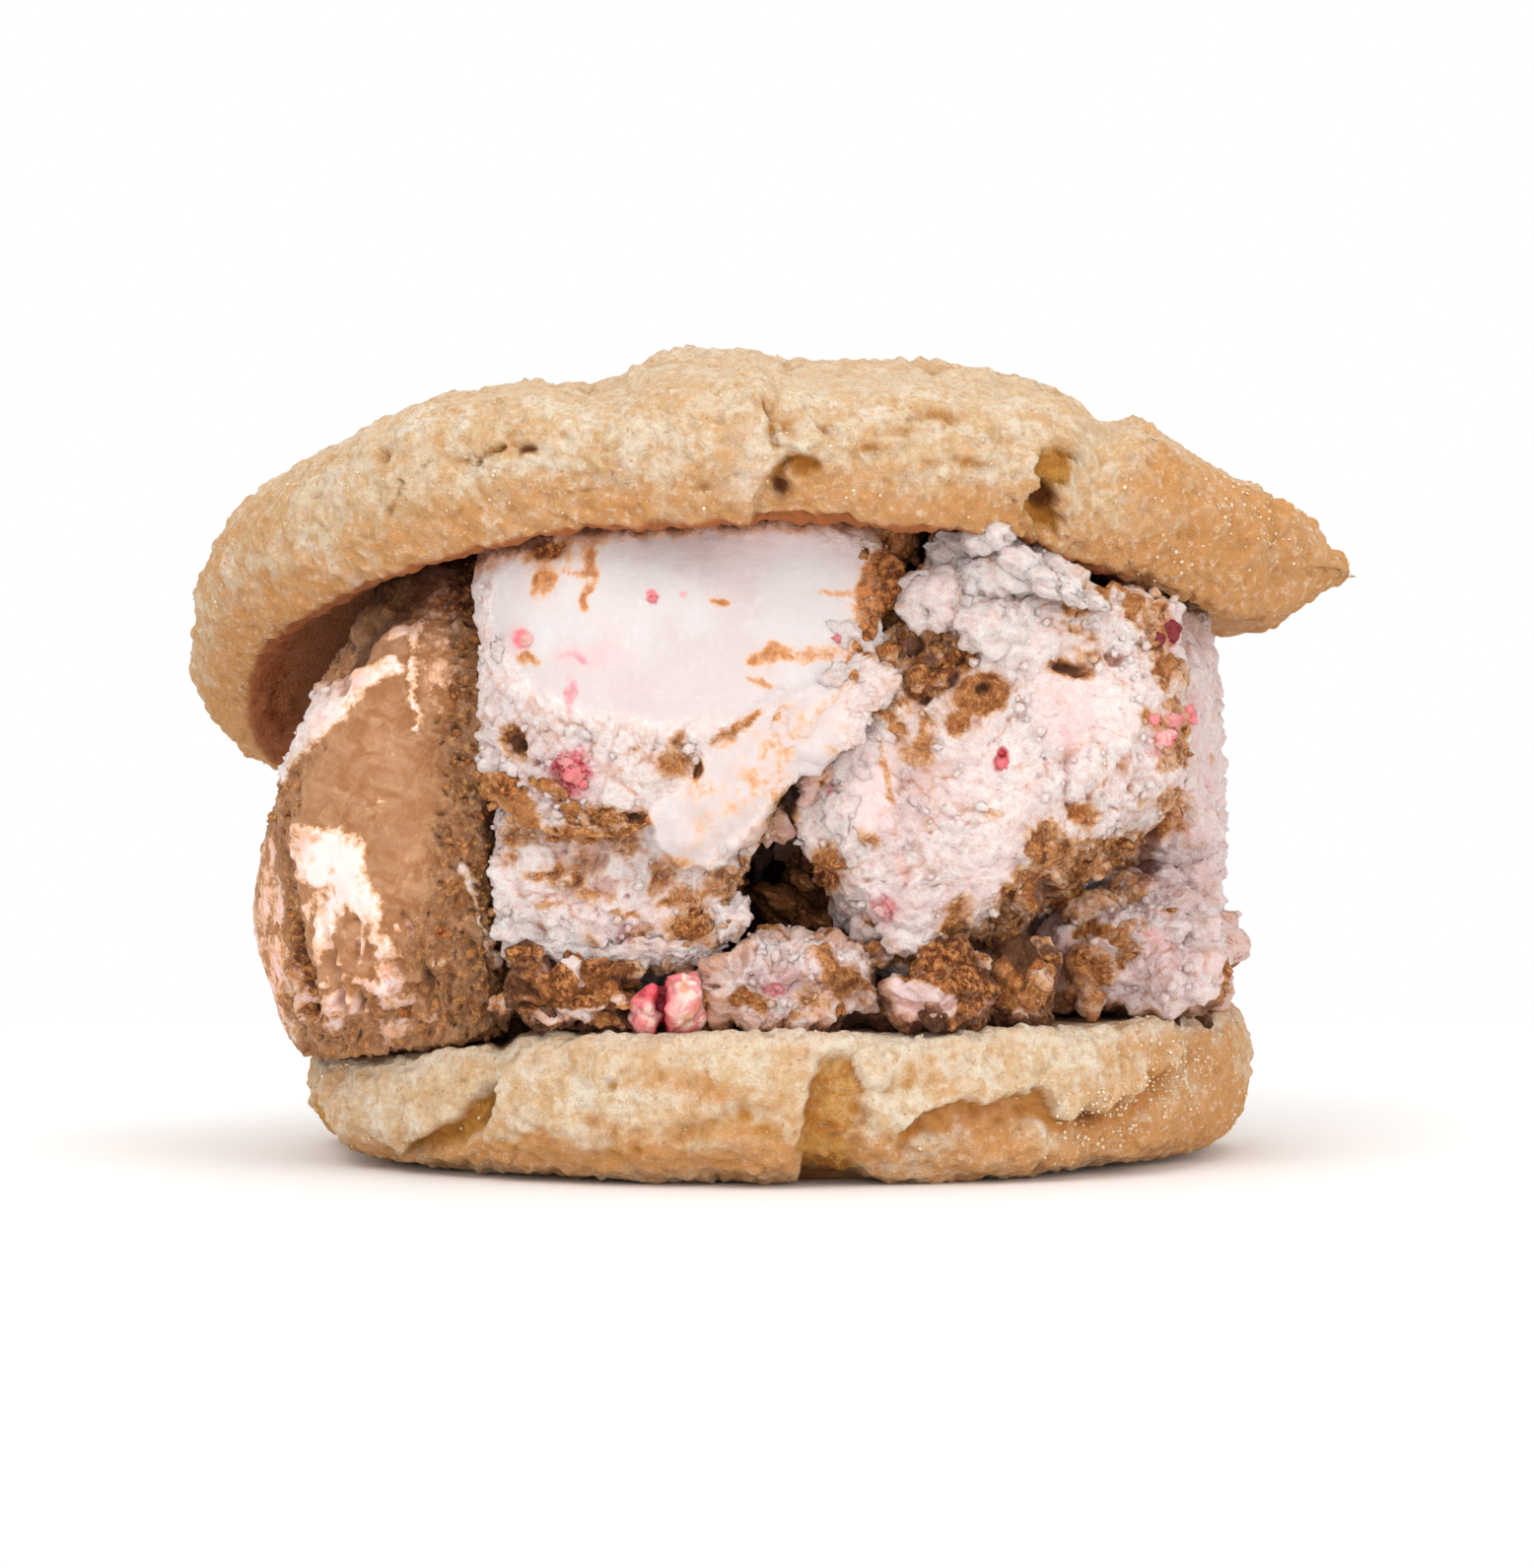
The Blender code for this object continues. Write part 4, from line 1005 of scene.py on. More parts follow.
def left_masks(p, n, s):
    out = {}
    face = np.maximum(s.blob(372, 850, 66, 165, 8, 0.45), s.blob(395, 720, 46, 80, 20, 0.5))
    rough = 0.62 - 0.60 * face
    brown = np.ones(len(p))
    band = s.stroke([(402, 678, 9), (360, 700, 14), (322, 728, 18), (296, 760, 16), (282, 790, 9)], 1.3)
    band = np.maximum(band, s.stroke([(374, 616, 5), (350, 650, 6), (322, 694, 6)], 1.3))
    band = np.maximum(band, s.stroke([(428, 634, 6), (410, 644, 7), (394, 650, 5)], 1.3))
    band = np.maximum(band, s.stroke([(424, 636, 4), (422, 690, 5), (424, 742, 3)], 1.3))
    band = np.maximum(band, s.stroke([(466, 876, 3), (484, 920, 4), (506, 978, 5)], 1.3))
    band = smooth(band * 1.2 + 0.3 * perlin(p, 1.3, 305) - 0.12) * (band > 0.02)
    patch = np.maximum.reduce([
        s.blob(342, 872, 36, 34, 0, 0.9), s.blob(368, 912, 22, 34, -38, 0.9), s.blob(394, 956, 12, 26, -35, 0.9), s.blob(334, 944, 11, 34, 4, 0.9), 0.9 * s.blob(398, 1000, 15, 26, 10, 0.9),
        0.85 * s.blob(350, 1016, 15, 18, 10, 0.9), s.blob(318, 848, 14, 12, 0, 0.9), 0.8 * s.blob(400, 1044, 14, 10, 0, 0.9),
    ])
    patch = smooth((patch + 0.50 * perlin(push(p, 3.0, 0.8, 307), (2.0, 2.0, 3.4), 306) + 0.30 * perlin(p, 1.0, 308) - 0.26) / 0.85)
    white = np.maximum(band, patch)
    lowleft = smooth((s.y - 940) / 40) * smooth((470 - s.x) / 40)
    bits_ = smooth((perlin(p, 1.7, 350) - 0.16) / 0.16) * np.maximum(s.blob(402, 996, 62, 46, 20, 0.8), s.blob(340, 1010, 46, 34, 0, 0.8))
    gutter = s.stroke([(296, 868, 8), (298, 920, 9), (304, 970, 10), (322, 1020, 12)], 0.8)
    edge = smooth((288 + 0.0 * s.x - s.x + 0.12 * (s.y - 930)) / 9) * smooth((s.y - 820) / 40)
    brown = brown * (1 - 0.95 * white) * (1 - 0.42 * edge) * (1 - 0.75 * bits_)
    brown = brown * (1 - 0.34 * strip_early(s)) * (1 - 0.5 * smooth((perlin(push(p, 4.0, 1.4, 352), (2.2, 2.2, 5.0), 353) - 0.20) / 0.2) * smooth((s.y - 800) / 60) * smooth((460 - s.x) / 60))
    pink = 0.8 * bits_ + 0.75 * s.blob(368, 696, 10, 8) + 0.7 * s.blob(318, 850, 7, 10) + 1.3 * edge + 0.8 * lowleft * smooth((perlin(p, 2.0, 320) - 0.05) / 0.3)
    berry = 0.45 * s.blob(398, 985, 9, 20) + 0.45 * s.blob(445, 1010, 14, 9) * 1.0 + 0.35 * s.blob(395, 1045, 14, 6)
    strip = s.stroke([(445, 598, 17), (444, 650, 18), (446, 700, 14), (452, 730, 6)], 0.4)
    column = s.stroke([(478, 540, 22), (474, 600, 20), (476, 660, 18), (470, 720, 16), (474, 790, 15), (482, 850, 17), (500, 910, 22), (520, 980, 26), (505, 1030, 30)], 0.5)
    wedge = s.stroke([(452, 850, 18), (468, 910, 22), (490, 970, 26), (470, 1020, 30)], 0.6)
    rough = np.maximum(rough * (1 - 0.6 * strip) * (1 - 0.8 * edge), 0.9 * gutter)
    rough = np.maximum(rough, np.maximum(column, 0.8 * wedge))
    # tone: darker chocolate in the column, wedge and lower left; towards the top it is painted shade under the cookie
    tone = 0.06 + 0.14 * column + 0.26 * wedge + 0.25 * lowleft + 0.5 * smooth((650 - s.y) / 50) - 0.1 * face
    pink = pink + 0.8 * strip
    out["brown"], out["pink"], out["berry"] = brown, pink, berry
    out["rough"] = rough
    out["tone"] = tone + 0.10 * strip + 0.1 * edge + 0.45 * gutter
    fleck = (perlin(p, 0.8, 330) > 0.62) * (1 - 0.8 * face) * (1 - white)
    out["pit"] = 0.8 * fleck + 0.45 * (perlin(p, 0.8, 331) > 0.5) * np.maximum(column, wedge)
    seam = s.stroke([(496, 540, 6), (496, 640, 6), (492, 720, 6), (500, 800, 7), (512, 870, 7), (530, 950, 8)], 1.0)
    out["extra"] = 0.45 * bits_ - 0.9 * gutter * (0.5 + 0.6 * perlin(p, 1.5, 351)) + 0.5 * white - 0.25 * column * smooth((s.y - 600) / 60) - 0.25 * seam + 0.5 * face + 0.9 * wedge * smooth((930 - s.y) / 100)
    out["extra"] = out["extra"] - 0.5 * (out["pit"] > 0.4)
    # layered folds where it goes up under the cookie, with painted shade in their troughs and under the cookie
    fold = s.stroke([(330, 700, 6), (352, 650, 8), (392, 606, 10), (430, 570, 10)], 0.8) - 0.7 * s.stroke([(352, 700, 5), (372, 656, 7), (410, 620, 8), (440, 590, 8)], 0.8)
    out["extra"] = out["extra"] + 0.8 * fold * (0.8 + 0.5 * perlin(p, 2.0, 354))
    under = smooth((690 - s.y - 0.9 * np.abs(s.x - 372)) / 26) * (1 - smooth(2.0 * band))
    out["pit"] = np.maximum(out["pit"], np.maximum(0.85 * smooth(-1.4 * fold), 0.55 * under * smooth((perlin(push(p, 2.0, 0.6, 355), (3.5, 3.5, 1.2), 356) + 0.25) / 0.3)))
    # painted shade in the slits on the lower part
    slit = np.maximum.reduce([s.stroke(line, 1.3) for line in (
        [(330, 905, 3), (338, 960, 4), (350, 1020, 4)], [(362, 935, 3), (368, 980, 4), (364, 1024, 4)], [(392, 1012, 4), (380, 1044, 5)],
        [(300, 935, 3), (306, 980, 4), (320, 1020, 5)], [(410, 930, 3), (432, 985, 4), (440, 1030, 5)],
    )]) * (0.55 + 0.9 * perlin(p, 2.0, 357))
    out["pit"] = np.maximum(out["pit"], 0.9 * slit)
    out["extra"] = out["extra"] - 0.9 * slit + 0.35 * perlin(push(p, 3.0, 0.8, 358), (1.6, 1.6, 5.0), 359) * smooth((s.y - 900) / 60)
    # long gouges along the lower right
    gouge = perlin(push(p, 4.0, 0.8, 340), (1.1, 1.1, 6.0), 341)
    out["extra"] = out["extra"] + 0.35 * gouge * np.maximum(wedge, 0.6 * lowleft)
    return out


def front_masks(p, n, s):
    out = {}
    calm = np.maximum.reduce([
        s.blob(690, 640, 190, 100, 0, 0.35), s.blob(590, 620, 95, 75, 0, 0.5), s.blob(800, 600, 95, 60, 0, 0.6),
        s.stroke([(880, 700, 30), (820, 738, 36), (770, 775, 38), (725, 815, 40), (690, 845, 36)], 0.4),
    ])
    rough = 0.92 - 0.86 * calm
    rough = np.maximum(rough, 0.7 * smooth((512 - s.x) / 14))
    lip_pts = [(462, 740), (476, 778), (494, 808), (524, 832), (566, 850), (606, 856), (640, 848), (656, 832), (668, 862), (698, 884), (736, 876), (766, 846), (788, 812), (812, 786), (850, 760), (890, 738), (940, 720)]
    lip = s.below(lip_pts)
    brink = smooth((lip + 3) / 8)
    extra = 0.75 - 2.1 * brink + 1.2 * smooth((lip - 22) / 60)
    brown = np.zeros(len(p))
    tone = np.full(len(p), 0.35)

    def colour_mark(mask, amount=1.0, dark=None):
        nonlocal brown, tone
        brown = np.maximum(brown, amount * mask)
        if dark is not None:
            tone = np.where(mask > 0.2, dark, tone)

    colour_mark(smooth((lip + 34) / 12) * (1 - smooth((lip - 3) / 5)) * smooth((560 - s.x) / 16) * smooth((s.y - 772) / 14), 0.95, 0.30)
    colour_mark(smooth((lip + 18) / 10) * (1 - smooth((lip - 3) / 5)) * smooth((s.x - 545) / 14) * smooth((662 - s.x) / 10), 0.85, 0.35)
    colour_mark(s.blob(613, 830, 22, 16), 0.95, 0.5)
    colour_mark(s.blob(643, 829, 14, 9), 0.95, 0.9)
    colour_mark(s.blob(527, 752, 11, 19, -8), 0.95, 0.75)
    colour_mark(s.blob(560, 560, 22, 12, -15), 1.0, 0.85)
    colour_mark(s.blob(557, 594, 13, 12, -30), 1.0, 0.5)
    colour_mark(s.stroke([(600, 566, 4), (600, 590, 5), (595, 618, 3)], 1.3), 0.66, 0.35)
    colour_mark(s.stroke([(578, 586, 3), (598, 586, 3)], 1.3), 0.5, 0.35)
    colour_mark(s.blob(728, 610, 9, 5), 0.95, 0.35)
    colour_mark(s.stroke([(764, 672, 7), (780, 664, 10), (800, 668, 6)], 1.3), 0.9, 0.35)
    colour_mark(s.blob(826, 664, 28, 10, 0, 1.4), 0.42, 0.2)
    colour_mark(s.blob(770, 694, 16, 3, 10), 0.6, 0.7)
    colour_mark(s.blob(848, 604, 20, 4, 8, 1.2), 0.55, 0.5)
    colour_mark(s.stroke([(767, 722, 4), (752, 734, 5), (734, 744, 6)], 1.3), 0.75, 0.3)
    colour_mark(s.blob(733, 752, 12, 8), 0.55, 0.45)
    colour_mark(s.blob(682, 774, 19, 13, -25), 0.75, 0.25)
    colour_mark(s.blob(708, 780, 5, 11, 15), 0.95, 0.85)
    colour_mark(s.blob(688, 752, 8, 9), 0.6, 0.6)
    colour_mark(s.blob(645, 762, 10, 6, -30), 0.4, 0.2)
    colour_mark(s.blob(540, 672, 10, 6), 0.8, 0.35)
    colour_mark(s.blob(628, 862, 18, 12), 0.7, 0.7)
    colour_mark(s.blob(592, 880, 22, 20), 0.42, 0.8)
    colour_mark(s.blob(702, 942, 24, 17), 1.0, 0.7)
    colour_mark(s.blob(694, 915, 26, 9, -10), 0.75, 0.45)
    colour_mark(s.blob(732, 900, 22, 18), 0.7, 0.35)
    colour_mark(s.blob(745, 930, 12, 24, 20), 0.75, 0.55)
    colour_mark(s.blob(760, 884, 13, 18, 20), 0.6, 0.4)
    colour_mark(s.blob(630, 928, 22, 5, 8), 0.75, 0.35)
    for x, y, rx, ry, turn, much in ((540, 884, 34, 14, 12, 0.5), (600, 900, 40, 16, 6, 0.5), (660, 896, 30, 16, -10, 0.55), (560, 930, 40, 12, 10, 0.45), (520, 850, 22, 14, 20, 0.5), (640, 950, 50, 10, 0, 0.4), (700, 870, 34, 12, -20, 0.4)):
        colour_mark(s.blob(x, y, rx, ry, turn, 1.3) * smooth((perlin(p, 2.2, 431) + 0.12) / 0.35), much + 0.22 + 0.2 * perlin(p, 1.1, 432), 0.5)
    colour_mark(s.stroke([(500, 968, 4), (560, 986, 5), (640, 980, 5), (690, 970, 5)], 0.7), 0.55, 0.3)
    edge_r = s.right_of([(905, 540), (872, 600), (880, 640), (860, 690), (800, 790), (775, 860), (730, 960)])
    colour_mark(smooth((edge_r + 16) / 12) * smooth((700 - s.y) / 30), 0.9, 0.65)
    colour_mark(smooth((edge_r + 12) / 12) * smooth((s.y - 790) / 20), 0.8, 0.6)
    left_edge = smooth((492 - s.x) / 10)
    colour_mark(left_edge * smooth((740 - s.y) / 20), 0.8, 0.7)
    # painted shadow along the top, under the cookie's edge, laid on as brown
    colour_mark(smooth((550 - s.y + 12.0 * perlin(p, 3.0, 433)) / 26), 0.66, 0.8)
    pink = 0.55 * s.blob(604, 667, 34, 12) + 0.65 * s.blob(535, 655, 13, 16) + 0.5 * s.blob(582, 786, 36, 32) + 0.35 * s.blob(860, 655, 18, 16)
    pink = pink + 0.30 * s.blob(640, 940, 40, 26) + 0.12 * smooth((perlin(p, 6.0, 410) - 0.1) / 0.5) + 0.25 * s.blob(750, 545, 120, 22)
    berry = np.maximum.reduce([
        1.1 * s.blob(580, 784, 19, 24, 0, 0.9), 0.5 * s.blob(583, 785, 30, 30, 0, 0.8) * (0.5 + perlin(p, 1.0, 411)), 0.55 * s.blob(537, 651, 10, 12, 20, 0.8),
        0.38 * s.blob(583, 706, 7, 24, 0, 0.9), 0.42 * s.blob(600, 668, 30, 7, 6, 0.9) * (0.6 + perlin(p, 1.6, 412)),
        0.6 * s.blob(662, 608, 7, 5, 30), 0.4 * s.blob(690, 606, 5, 4), 0.5 * s.blob(850, 650, 9, 8), 0.35 * s.blob(638, 948, 14, 12),
    ])
    # pitted: dark holes, painted shade
    pitted = np.maximum.reduce([s.blob(643, 829, 9, 6), 0.9 * s.blob(527, 755, 7, 12), 0.8 * s.blob(708, 780, 4, 8), 0.45 * s.blob(612, 905, 14, 8, 20, 1.3), 0.4 * s.blob(676, 898, 6, 12, 0, 1.3), 0.4 * s.blob(592, 874, 24, 16)])
    extra = extra - 0.8 * pitted - 0.5 * s.blob(527, 752, 12, 20) - 0.3 * s.blob(560, 560, 20, 11)
    tongue = s.stroke([(884, 692, 24), (838, 722, 28), (790, 760, 30), (744, 800, 32), (706, 832, 32)], 1.5)
    extra = extra + 1.5 * tongue * (0.85 + 0.3 * perlin(p, 3.0, 416))
    groove = s.stroke([(790, 700, 4), (762, 722, 6), (730, 750, 7), (700, 782, 7), (668, 800, 6), (652, 822, 6)], 0.9)
    extra = extra - 0.3 * groove
    brown = np.maximum(brown, tongue * (0.22 + 0.2 * perlin(p, 2.6, 417)))
    # painted shade: the hollow at the foot of the cleft is filled with dark brown
    hollow = s.stroke([(812, 850, 16), (800, 890, 34), (808, 930, 50), (800, 980, 60)], 0.7)
    brown = np.maximum(brown, hollow)
    tone = np.maximum(tone, hollow)
    pitted = np.maximum(pitted, 0.7 * hollow)
    extra = extra - 1.2 * hollow
    # faint knife marks down the smooth face
    extra = extra + 0.07 * perlin(p, (0.9, 3.0, 14.0), 420) * calm + 0.35 * perlin(p, 7.0, 421) * calm
    # flat facets at the left edge
    facet = s.blob(484, 748, 13, 22)
    extra = extra - 0.5 * facet
    tone = np.where(facet > 0.3, 0.55, tone)
    brown = np.maximum(brown, 0.35 * facet)
    out.update(brown=brown, pink=pink, berry=berry, rough=rough, tone=tone, pit=pitted, extra=extra)
    return out


def right_masks(p, n, s):
    out = {}
    rough = np.full(len(p), 0.85)
    calm = np.maximum.reduce([s.blob(884, 800, 26, 50, 0, 0.9) * 0.6, s.blob(1100, 720, 60, 60, 0, 1.2) * 0.4, s.blob(1010, 780, 70, 60, 0, 1.2) * 0.25])
    rough = rough - 0.75 * calm
    brown = np.zeros(len(p))
    tone = np.full(len(p), 0.35)

    def colour_mark(mask, amount=1.0, dark=None):
        nonlocal brown, tone
        brown = np.maximum(brown, amount * mask)
        if dark is not None:
            tone = np.where(mask > 0.2, dark, tone)

    crev = s.stroke([(905, 530, 32), (905, 580, 34), (925, 630, 36), (955, 665, 34), (935, 690, 22)], 0.5)
    colour_mark(crev * (0.75 + 0.35 * perlin(p, 2.0, 510)), 1.0, 0.65)
    colour_mark(s.blob(902, 602, 17, 32, 0, 0.5), 1.0, 0.78)
    colour_mark(s.blob(996, 704, 30, 24, -20, 0.5), 1.0, 0.45)
    colour_mark(s.blob(974, 732, 14, 14), 0.9, 0.2)
    colour_mark(s.stroke([(866, 700, 10), (884, 716, 9), (900, 726, 6)], 0.7), 0.75, 0.15)
    colour_mark(s.blob(925, 740, 26, 36, -15, 0.9) * smooth((perlin(p, 1.7, 511) + 0.25) / 0.4), 0.8, 0.15)
    colour_mark(s.stroke([(894, 756, 5), (903, 790, 5), (910, 812, 4)], 1.4) * (0.7 + 0.8 * perlin(p, 1.6, 522)), 0.72, 0.15)
    colour_mark(s.blob(876, 852, 20, 10), 0.5, 0.2)
    colour_mark(s.blob(836, 884, 18, 28, 10), 0.9, 0.5)
    colour_mark(s.blob(1086, 678, 22, 8, 8), 0.9, 0.85)
    colour_mark(s.blob(1093, 648, 22, 14, 30) * smooth((perlin(p, 1.4, 512) + 0.2) / 0.3), 0.8, 0.35)
    colour_mark(s.blob(1100, 668, 20, 12), 0.5, 0.2)
    colour_mark(s.blob(1099, 826, 18, 9), 0.8, 0.2)
    colour_mark(s.blob(1005, 822, 12, 6), 0.55, 0.2)
    colour_mark(s.blob(1057, 786, 10, 5), 0.4, 0.2)
    arc = s.stroke([(1088, 612, 12), (1122, 600, 17), (1160, 618, 18), (1184, 650, 16), (1180, 690, 10)], 0.9)
    colour_mark(arc * smooth((perlin(p, 1.6, 513) + 0.22) / 0.3), 0.95, 0.3)
    band = s.stroke([(1150, 862, 20), (1110, 872, 22), (1070, 880, 26), (1036, 915, 26), (1020, 950, 24), (985, 960, 16)], 0.7)
    colour_mark(band * (0.72 + 0.45 * perlin(p, 1.7, 514)), 1.0, 0.45)
    colour_mark(s.blob(1062, 850, 20, 18), 0.8, 0.55)
    colour_mark(s.blob(970, 940, 14, 32, 10), 0.85, 0.45)
    colour_mark(s.stroke([(872, 936, 8), (912, 972, 8), (960, 978, 10)], 0.8), 0.8, 0.6)
    edge_l = s.right_of([(990, 520), (960, 560), (925, 600), (905, 660), (860, 700), (830, 760), (805, 800), (800, 850), (830, 920), (880, 980)])
    colour_mark(smooth((14 - edge_l) / 12) * smooth((s.y - 770) / 20) * smooth((930 - s.y) / 20), 0.7, 0.6)
    edge_r = smooth((s.x - 1148) / 14)
    colour_mark(edge_r * smooth((perlin(p, 2.0, 515) + 0.1) / 0.4), 0.6, 0.5)
    pink = 0.06 + 0.25 * perlin(p, 5.0, 520) + 0.5 * s.blob(895, 922, 22, 18) + 0.35 * s.blob(900, 800, 40, 60) + 0.3 * s.blob(1085, 720, 40, 50)
    pink = pink + 0.5 * s.stroke([(1078, 744, 4), (1086, 780, 5), (1080, 806, 4)], 0.9) - 0.5 * s.blob(1060, 570, 80, 50, 0, 0.7)
    berry = np.maximum.reduce([
        1.1 * s.blob(1184, 642, 15, 14, 0, 0.9), 0.75 * s.blob(1182, 744, 18, 28, 14, 0.9) * (0.6 + 0.7 * perlin(p, 1.1, 521)), 0.5 * s.blob(1204, 728, 12, 10),
        0.9 * s.blob(1016, 772, 7, 11, 10), 0.42 * s.blob(896, 922, 15, 13, 0, 0.9), 0.3 * s.blob(885, 880, 8, 14), 0.45 * s.blob(842, 800, 7, 8),
        0.28 * s.blob(960, 830, 10, 6), 0.3 * s.blob(915, 880, 6, 22, -30, 0.9),
    ])
    # pitted: dark pits, painted shade
    pitted = np.maximum.reduce([
        s.blob(876, 548, 8, 10), s.blob(937, 566, 6, 18), s.blob(872, 608, 8, 10, 30), s.blob(925, 655, 12, 8), s.blob(943, 672, 9, 9), s.blob(966, 688, 6, 5),
        0.6 * s.blob(902, 690, 6, 5), s.blob(1086, 678, 17, 5, 8), s.blob(1058, 905, 10, 14, 20), 0.9 * s.blob(998, 700, 8, 6), 0.8 * s.blob(1130, 668, 8, 8),
        (perlin(p, 0.9, 516) > 0.45) * crev * 0.9, (perlin(p, 0.9, 517) > 0.5) * band * 0.7,
    ])
    # painted shade: the hollow at the foot of the cleft is filled with dark brown
    hollow = s.stroke([(790, 840, 14), (788, 890, 32), (800, 930, 34), (800, 980, 60), (860, 1000, 30)], 0.7)
    brown = np.maximum(brown, hollow)
    tone = np.maximum(tone, hollow)
    pitted = np.maximum(pitted, 0.7 * hollow)
    extra = -1.3 * crev - 0.9 * pitted - 1.4 * hollow
    extra = extra - 0.7 * s.blob(996, 702, 30, 24, -20, 0.8)
    for x, y, rx, ry, up in ((944, 608, 30, 28, 2.2), (1012, 556, 34, 34, 1.7), (1075, 575, 36, 30, 1.6), (1000, 620, 44, 36, 1.1), (1040, 640, 50, 36, 0.7), (884, 800, 34, 60, 1.0), (1000, 962, 18, 26, 0.9), (965, 870, 70, 60, 0.6)):
        d = s.dome(x, y, rx, ry)
        extra = extra + up * d
        brown = brown * (1 - smooth(d * 1.6)) if (x, y) in ((944, 608), (1012, 556), (1075, 575)) else brown
        pitted = pitted * (1 - smooth(d * 1.6)) if (x, y) == (944, 608) else pitted
    # painted shadow: a dark strip under the cookie's edge, where the ridge meets it
    painted_gap_shadow = s.stroke([(1034, 522, 10), (1056, 540, 15), (1084, 556, 17), (1114, 574, 13), (1146, 584, 9), (1170, 594, 5)], 0.6)
    brown, tone, pitted = np.maximum(brown, painted_gap_shadow), np.maximum(tone, painted_gap_shadow), np.maximum(pitted, painted_gap_shadow)
    extra = extra - 1.6 * painted_gap_shadow
    out.update(brown=brown, pink=pink, berry=berry, rough=rough, tone=tone, pit=pitted, extra=extra)
    return out


def end_masks(p, n, s):
    out = {}
    m = perlin(p, (3.0, 3.0, 5.0), 610)
    brown = 0.75 * smooth((m - 0.32) / 0.2)
    tone = 0.35 + 0.3 * perlin(p, 3.0, 611)
    lower = smooth((s.y - 880) / 60)
    brown = np.maximum(brown, 0.55 * s.blob(1130, 900, 40, 16) + 0.9 * s.blob(1188, 915, 14, 9))
    brown = np.maximum(brown, 0.6 * smooth((1170 - s.x) / 14))
    brown = np.maximum(brown, 0.55 * s.blob(1160, 640, 24, 30))
    brown = brown * (1 - 0.75 * smooth((s.x - 1195) / 20))
    pink = 0.35 + 0.4 * perlin(p, 4.0, 612) + 0.3 * s.blob(1180, 740, 40, 40)
    berry = np.maximum.reduce([1.15 * s.blob(1184, 641, 13, 12, 20), 0.8 * s.blob(1178, 740, 16, 26, 20, 0.9), 0.65 * s.blob(1200, 727, 10, 8), 0.3 * s.blob(1190, 915, 24, 18) * (1 - brown)])
    # pitted: painted shade in the seam against the right scoop
    pitted = np.maximum(0.9 * s.stroke([(1156, 668, 5), (1168, 720, 4), (1160, 800, 6), (1166, 850, 7), (1160, 890, 8)], 0.8), 0.5 * s.blob(1165, 655, 14, 22))
    out.update(brown=brown, pink=pink, berry=berry, rough=np.full(len(p), 0.72), tone=tone, pit=pitted, extra=-0.5 * pitted + 0.7 * perlin(p, 5.0, 613) * lower)
    return out


def rear_masks(p, n, s):
    w = push(p, 8.0, 3.0, 700)
    ribbon = np.abs(perlin(w, (9.0, 9.0, 5.0), 704))
    brown = smooth((0.16 - ribbon) / 0.12)
    brown = np.maximum(brown, smooth((perlin(w, 5.0, 705) - 0.42) / 0.2))
    pink = 0.4 + 0.5 * perlin(p, 7.0, 706)
    berry = 0.9 * smooth((perlin(p, 3.2, 707) - 0.62) / 0.15)
    calm = smooth((perlin(p, 14.0, 708) + 0.05) / 0.3)
    return dict(brown=brown, pink=pink, berry=berry, rough=0.85 - 0.7 * calm, tone=0.45 + 0.4 * perlin(p, 4.0, 709), pit=0.0 * brown, extra=-0.5 * brown)


def blend_masks(a, b, w):
    return {k: a[k] * w + b[k] * (1 - w) for k in a}


PIECES = {
    # name: (masks at the front, facing, fine step, coarse step, reach, sharpness of the pressed edges, lump size, material, slot)
    "scoop_left": (left_masks, (-0.45, -0.9, 0.0), 0.68, 1.9, 72, 0.8, 2.2, COCOA, "cocoa_ice_cream"),
    "scoop_front": (front_masks, (0.0, -1.0, 0.0), 0.58, 3.4, 66, 0.45, 2.5, CREAM, "pale_ice_cream"),
    "scoop_right": (right_masks, (0.1, -1.0, 0.0), 0.60, 3.0, 66, 0.45, 2.3, CREAM, "pale_ice_cream"),
    "scoop_end": (end_masks, (0.85, -0.5, 0.0), 0.85, 2.6, 70, 0.8, 2.3, CREAM, "pale_ice_cream"),
    "scoop_rear": (None, (0.0, 1.0, 0.0), 1.0, 3.4, 66, 0.8, 2.6, CREAM, "pale_ice_cream"),
}
DONE = {}


